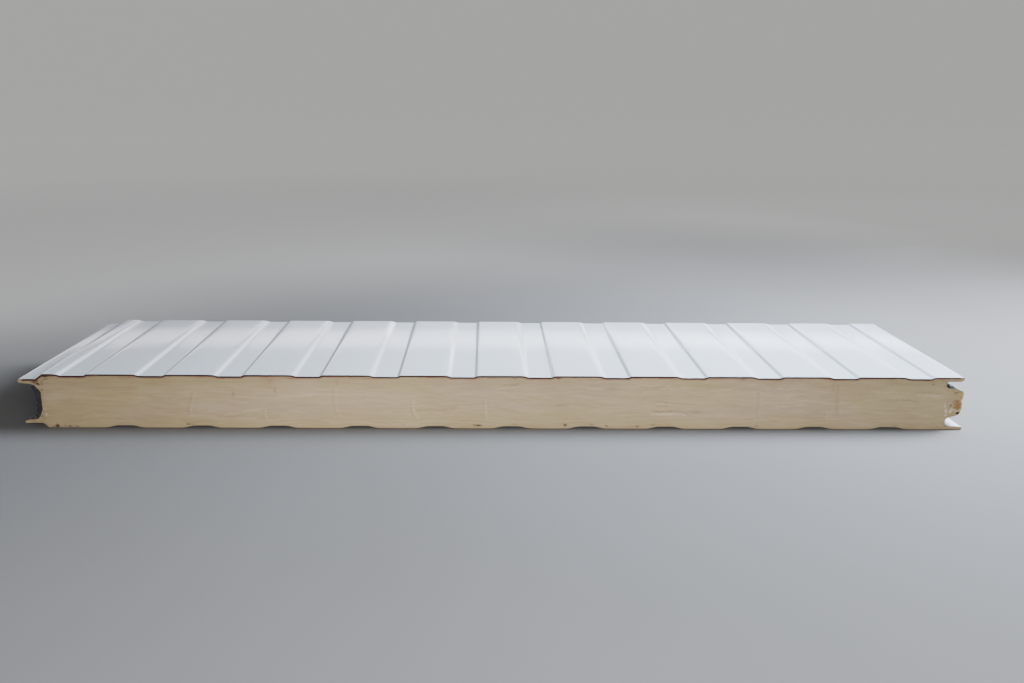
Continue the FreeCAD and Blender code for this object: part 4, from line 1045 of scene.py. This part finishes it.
    # tongue face, ring by ring between the two cut ends
    cols = [front[a:b + 1]]
    f_xyz, b_xyz = V[front[a:b + 1]], V[back[a:b + 1]]
    for t in ts[1:-1]:
        yy = f_xyz[:, 1] + t * (b_xyz[:, 1] - f_xyz[:, 1])
        d = nib_depth(frac, nx, nz, yy)
        px, pz = nx - nrm[:, 0] * d, nz - nrm[:, 1] * d
        spots = fbm(px / 3.0, yy / 3.0, pz / 3.0, 97, 2)
        deep = smooth(0.9, 2.6, d)
        amber = np.clip(0.34 + 0.5 * fbm(px / 12.0, yy / 14.0, pz / 9.0, 98, 2) + 0.35 * deep, 0, 1)
        amber[0] = amber[-1] = 0.3
        pt = np.c_[px, pz]
        s0 = add(px, yy, pz, 0.18 * spots - 0.30 * deep, 0.0, amber, 1.0, np.maximum(dist(tree_top, pt), 1.2), dist(tree_low, pt))
        cols.append(list(range(s0, s0 + ncol)))
    cols.append(back[a:b + 1])
    for c0, c1 in zip(cols[:-1], cols[1:]):
        for i in range(ncol - 1):
            faces.append((c0[i], c0[i + 1], c1[i + 1], c1[i]))
    # hidden sides under the facings and the gasket
    for i in range(n):
        j = (i + 1) % n
        if a <= i < b:
            continue
        if j == a or i == b:
            col = [c[0] if j == a else c[-1] for c in cols]
            f0, b0 = (front[i], back[i]) if j == a else (front[j], back[j])
            half = len(col) // 2
            for k in range(len(col) - 1):
                tip = f0 if k < half else b0
                tri = (tip, col[k], col[k + 1])
                faces.append(tri if j == a else tri[::-1])
            tri = (f0, col[half], b0)
            faces.append(tri if j == a else tri[::-1])
            continue
        faces.append((front[i], front[j], back[j], back[i]))
    # drop the points that the triangulation left unused
    used = np.zeros(len(verts), bool)
    for f in faces:
        for i in f:
            used[i] = True
    remap = np.cumsum(used) - 1
    verts = [v for v, u in zip(verts, used) if u]
    attrs = {k: np.array(v)[used] for k, v in attrs.items()}
    faces = [tuple(remap[i] for i in f) for f in faces]
    return make("foam_body", verts, faces, [FOAM], None, 50.0, attrs)


core = foam_core()


# ------------------------------------------------------------------ the gasket
def gasket():
    ring = list(GASKET)
    out = fillet([ring[-1]] + ring + [ring[0]], 1.1, 20)[1:-1]
    path = divide(out, 1.1)
    if np.hypot(*(path[0] - path[-1])) < 0.2:
        path = path[:-1]
    ys = rings(4.0, (0, .7, 2.2))
    n, m = len(path), len(ys)
    closed = np.vstack([path[-1:], path, path[:1]])
    nn, _ = normals(closed)
    nn = nn[1:-1]
    area = 0.5 * np.sum(path[:, 0] * np.roll(path[:, 1], -1) - np.roll(path[:, 0], -1) * path[:, 1])
    if area > 0:
        nn = -nn                                         # outward
    glue = np.array([min(1.0, max(0.0, (-x - 490.8) / 2.5)) for x, z in path])   # only the free side is soft and uneven
    verts = []
    for y in ys:
        d = glue * (0.10 + 0.35 * np.abs(fbm(path[:, 0] / 6.0, y / 22.0, path[:, 1] / 6.0, 41, 2))
                    + 0.12 * np.abs(gnoise(path[:, 0] / 1.6, y / 3.0, path[:, 1] / 1.6, 42)))
        q = path - nn * d[:, None]
        end = 0.25 if y in (ys[0], ys[-1]) else 0.0
        yy = np.full(n, y)
        if y == ys[0]:
            yy = yy + 0.2 + 0.25 * np.abs(gnoise(path[:, 0] / 1.5, 0.0, path[:, 1] / 1.5, 43))
        if y == ys[-1]:
            yy = yy - 0.2 - 0.25 * np.abs(gnoise(path[:, 0] / 1.5, 5.0, path[:, 1] / 1.5, 44))
        verts += [(q[i, 0], yy[i], q[i, 1]) for i in range(n)]
    faces = []
    for j in range(m - 1):
        for i in range(n):
            k = (i + 1) % n
            f = (n * j + i, n * j + k, n * (j + 1) + k, n * (j + 1) + i)
            faces.append(f if area < 0 else f[::-1])
    # ends: triangulated, with a few inner points so that they can be uneven
    for j, sg in ((0, 1.0), (m - 1, -1.0)):
        rim = [verts[n * j + i] for i in range(n)]
        pts = [Vector((p[0], p[2])) for p in rim]
        extra = []
        for x in np.arange(-498.5, -487.0, 1.1):
            for z in np.arange(10.0, 49.0, 1.1):
                if min(math.hypot(x - p[0], z - p[1]) for p in path) > 0.75:
                    extra.append((float(x) + 0.12 * math.sin(9 * z), float(z) + 0.12 * math.sin(7 * x)))
        vc, _e, fc, ov, _a, _b = delaunay_2d_cdt(pts + [Vector(p) for p in extra], [], [list(range(n))], 1, 1e-5)
        where = {}
        for i, o in enumerate(ov):
            k = [q for q in o if q < n]
            if k:
                where[i] = n * j + k[0]
        for f in fc:
            for i in f:
                if i not in where:
                    where[i] = len(verts)
                    y = (Y0 if sg > 0 else Y1) + sg * (0.15 + 0.5 * abs(float(gnoise(vc[i][0] / 1.8, j, vc[i][1] / 1.8, 45))))
                    verts.append((vc[i][0], y, vc[i][1]))
            g = tuple(where[i] for i in f)
            faces.append(g if sg > 0 else g[::-1])
    return make("joint_gasket_strip", verts, faces, [RUBBER], None, 55.0)


strip = gasket()

for piece, node, slot in ((outer, "outer_sheet", "outer_paint"), (inner, "inner_sheet", "inner_paint"),
                          (core, "foam_core", "foam"), (strip, "joint_gasket", "gasket")):
    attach(piece, "root")
    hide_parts(node)


# ------------------------------------------------------------------ floor, light and camera
def stage():
    """A plain pale studio sweep: flat floor that curves up far behind, kept evenly pale away from the lamps."""
    m = Nodes("studio_sweep")
    n = m.noise(m.scaled(1 / 300, 1 / 300, 1 / 300), detail=3)
    x, y, z = m.xyz()
    far = m.math("SQRT", m.math("ADD", m.math("MULTIPLY", x, x), m.math("MULTIPLY", y, y)))
    # the lamps stand to the right, so the far and the left parts of the sweep are lifted to the same pale tone
    near = m.math("MULTIPLY", m.math("MULTIPLY", m.range(far, 320.0, 1050.0), m.range(x, 900.0, -300.0)),
                  m.math("MULTIPLY", m.range(y, -60.0, 420.0), m.range(far, 3600.0, 1800.0)))
    glow = m.math("ADD", m.math("MULTIPLY", near, 0.33),
                  m.math("MULTIPLY", m.math("SUBTRACT", 1.0, near), m.range(far, 800.0, 1950.0, 0.0, 0.40)))
    m.set(Base_Color=m.ramp(n, [(0.3, (0.178, 0.177, 0.175)), (0.7, (0.190, 0.189, 0.187))]), Roughness=m.range(n, 0.3, 0.7, 0.80, 0.90),
          Specular_IOR_Level=0.1, Emission_Color=(1.0, 0.99, 0.975, 1.0), Emission_Strength=glow)
    prof = [(0.0, 0.0), (2.0, 0.0), (5.0, 0.0), (7.0, 0.0)]
    prof += [(7.0 + 4.0 * math.sin(a), 4.0 - 4.0 * math.cos(a)) for a in np.linspace(0.08, 0.5 * math.pi, 16)]
    prof += [(11.0, 6.5)]
    seg = 96
    vs, fs = [(0.0, 0.0, -0.0002)], []
    for r, z in prof[1:]:
        vs += [(r * math.cos(2 * math.pi * i / seg), r * math.sin(2 * math.pi * i / seg), z - 0.0002) for i in range(seg)]
    fs += [(0, 1 + i, 1 + (i + 1) % seg) for i in range(seg)]
    for k in range(len(prof) - 2):
        a0, b0 = 1 + k * seg, 1 + (k + 1) * seg
        fs += [(a0 + i, b0 + i, b0 + (i + 1) % seg, a0 + (i + 1) % seg) for i in range(seg)]
    me = bpy.data.meshes.new("studio_sweep")
    me.from_pydata(vs, [], fs)
    me.polygons.foreach_set("use_smooth", [True] * len(me.polygons))
    me.materials.append(m.mat)
    ob = bpy.data.objects.new("studio_sweep", me)
    bpy.context.scene.collection.objects.link(ob)
    return ob


stage()


def area(name, loc, aim, size, power, color, size_y=None):
    li = bpy.data.lights.new(name, "AREA")
    li.shape = "RECTANGLE"
    li.size, li.size_y = size, size_y or size
    li.energy = power
    li.color = color
    ob = bpy.data.objects.new(name, li)
    ob.location = loc
    ob.rotation_mode = "QUATERNION"
    ob.rotation_quaternion = (Vector(aim) - Vector(loc)).to_track_quat("-Z", "Y")
    ob.visible_camera = False
    bpy.context.scene.collection.objects.link(ob)
    return ob


def soft_box(light):
    """Bright in the middle and dark at the rim, like a soft box, so that its mirror image has no hard edge."""
    light.data.spread = 2.75
    light.data.use_nodes = True
    nt = light.data.node_tree
    em = [n for n in nt.nodes if n.type == "EMISSION"][0]
    geo, sep = nt.nodes.new("ShaderNodeNewGeometry"), nt.nodes.new("ShaderNodeSeparateXYZ")
    nt.links.new(geo.outputs["Parametric"], sep.inputs[0])

    def op(kind, a, b):
        n = nt.nodes.new("ShaderNodeMath")
        n.operation = kind
        for k, v in enumerate((a, b)):
            if hasattr(v, "links"):
                nt.links.new(v, n.inputs[k])
            else:
                n.inputs[k].default_value = v
        return n.outputs[0]

    u, v = [op("MULTIPLY", op("MULTIPLY", sep.outputs[k], op("SUBTRACT", 1.0, sep.outputs[k])), 4.0) for k in (0, 1)]
    nt.links.new(op("MULTIPLY", op("MULTIPLY", u, v), 2.25), em.inputs["Strength"])
    return light


soft_box(area("light_side", (1.30, 0.20, 0.80), (0.05, 0.0, 0.03), 0.85, 61.4, (0.855, 0.90, 1.0)))
soft_box(area("light_top", (0.60, 0.10, 0.66), (0.20, 0.0, 0.03), 0.6, 8.3, (0.62, 0.80, 1.0)))
soft_box(area("light_front", (0.15, -1.10, 0.35), (0.0, -0.1, 0.03), 0.6, 4.75, (1.0, 0.99, 0.98)))
soft_box(area("light_fill", (-0.20, -0.95, 0.42), (-0.15, -0.1, 0.03), 0.42, 1.68, (1.0, 0.97, 0.95)))
# a long soft strip far behind, brighter towards the right, that the satin paint mirrors as a pale band
def fade(light, stops):
    """Let a strip lamp's brightness and tone run evenly from its left end (0) to its right end (1)."""
    light.data.use_nodes = True
    nt = light.data.node_tree
    em = [n for n in nt.nodes if n.type == "EMISSION"][0]
    geo, sep, rp = nt.nodes.new("ShaderNodeNewGeometry"), nt.nodes.new("ShaderNodeSeparateXYZ"), nt.nodes.new("ShaderNodeValToRGB")
    nt.links.new(geo.outputs["Parametric"], sep.inputs[0])
    nt.links.new(sep.outputs[0], rp.inputs[0])
    nt.links.new(rp.outputs[0], em.inputs["Color"])
    cr = rp.color_ramp
    stops = sorted((1.0 - p, c) for p, c in stops)      # the lamp faces the camera, so its own x runs leftwards
    while len(cr.elements) < len(stops):
        cr.elements.new(0.5)
    for e, (pos, col) in zip(cr.elements, stops):
        e.position = pos
        e.color = (*col, 1.0)


BAND = [(-1.5, 0.27, (1.0, 0.95, 1.0)), (-1.22, 0.28, (1.0, 0.95, 1.0)), (-0.95, 0.29, (1.0, 0.95, 1.0)), (-0.67, 0.38, (1.0, 0.94, 1.0)),
        (-0.40, 0.41, (0.95, 0.94, 1.0)), (-0.12, 0.45, (0.90, 0.93, 1.0)), (0.15, 0.50, (0.85, 0.92, 1.0)), (0.42, 0.57, (0.80, 0.90, 1.0)),
        (0.97, 0.72, (0.72, 0.85, 1.0)), (1.5, 0.62, (0.65, 0.79, 1.0)), (2.25, 0.58, (0.6, 0.76, 1.0))]
strip_lamp = area("light_strip", (0.0, 2.5, 0.6955), (0.0, 0.0, 0.6955), 4.5, 7.6, (1.0, 1.0, 1.0), 0.065)
fade(strip_lamp, [((x + 2.25) / 4.5, tuple(v * c for c in tone)) for x, v, tone in BAND])
# a thin slanted strip low behind the panel that only the right-facing slopes of the grooves mirror
edge_lamp = area("light_edge", (0.72, 1.2, 0.1535), (0.72, 0.0, 0.1535), 0.748, 0.52, (0.80, 0.90, 1.0), 0.105)
edge_lamp.rotation_quaternion = Matrix(((0.9627, -0.2708, 0.0), (0.0, 0.0, 1.0), (-0.2708, -0.9627, 0.0))).to_quaternion()
edge_lamp.visible_diffuse = False

world = bpy.data.worlds.new("studio")
bpy.context.scene.world = world
world.use_nodes = True
wt = world.node_tree
wt.nodes.clear()
wo = wt.nodes.new("ShaderNodeOutputWorld")
bg = wt.nodes.new("ShaderNodeBackground")
tc = wt.nodes.new("ShaderNodeTexCoord")
sp = wt.nodes.new("ShaderNodeSeparateXYZ")
rp = wt.nodes.new("ShaderNodeValToRGB")
wt.links.new(tc.outputs["Generated"], sp.inputs[0])
wt.links.new(sp.outputs[2], rp.inputs[0])
wt.links.new(rp.outputs[0], bg.inputs[0])
wt.links.new(bg.outputs[0], wo.inputs[0])
stops = [(0.0, (0.80, 0.80, 0.79)), (0.5, (0.86, 0.88, 0.90)), (1.0, (0.92, 0.95, 1.0))]
cr = rp.color_ramp
while len(cr.elements) < len(stops):
    cr.elements.new(0.5)
for e, (pos, col) in zip(cr.elements, stops):
    e.position = pos
    e.color = (*col, 1.0)
bg.inputs[1].default_value = 0.10

# the camera stands where the picture was taken from
FOCAL, PITCH_A, YAW, ROLL = 948.8863, 0.25476074, -0.0296198, 0.01243526


def turn(rx, ry, rz):
    cx, sx, cy, sy, cz, sz = math.cos(rx), math.sin(rx), math.cos(ry), math.sin(ry), math.cos(rz), math.sin(rz)
    return (np.array([[cz, -sz, 0], [sz, cz, 0], [0, 0, 1]]) @ np.array([[1, 0, 0], [0, cx, -sx], [0, sx, cx]])
            @ np.array([[cy, 0, sy], [0, 1, 0], [-sy, 0, cy]]))


W2C = turn(PITCH_A, YAW, ROLL) @ np.array([[1, 0, 0], [0, 0, -1], [0, 1, 0]], float)
CAM_R = (np.diag([1.0, -1.0, -1.0]) @ W2C).T
cam_data = bpy.data.cameras.new("camera")
cam_data.sensor_fit = "HORIZONTAL"
cam_data.sensor_width = 36.0
cam_data.lens = FOCAL / 1024.0 * 36.0
cam_data.clip_start, cam_data.clip_end = 0.01, 100.0
cam = bpy.data.objects.new("camera", cam_data)
cam.matrix_world = Matrix.Translation((-0.01577, -1.10151, 0.35268)) @ Matrix(CAM_R.tolist()).to_4x4()
bpy.context.scene.collection.objects.link(cam)
bpy.context.scene.camera = cam
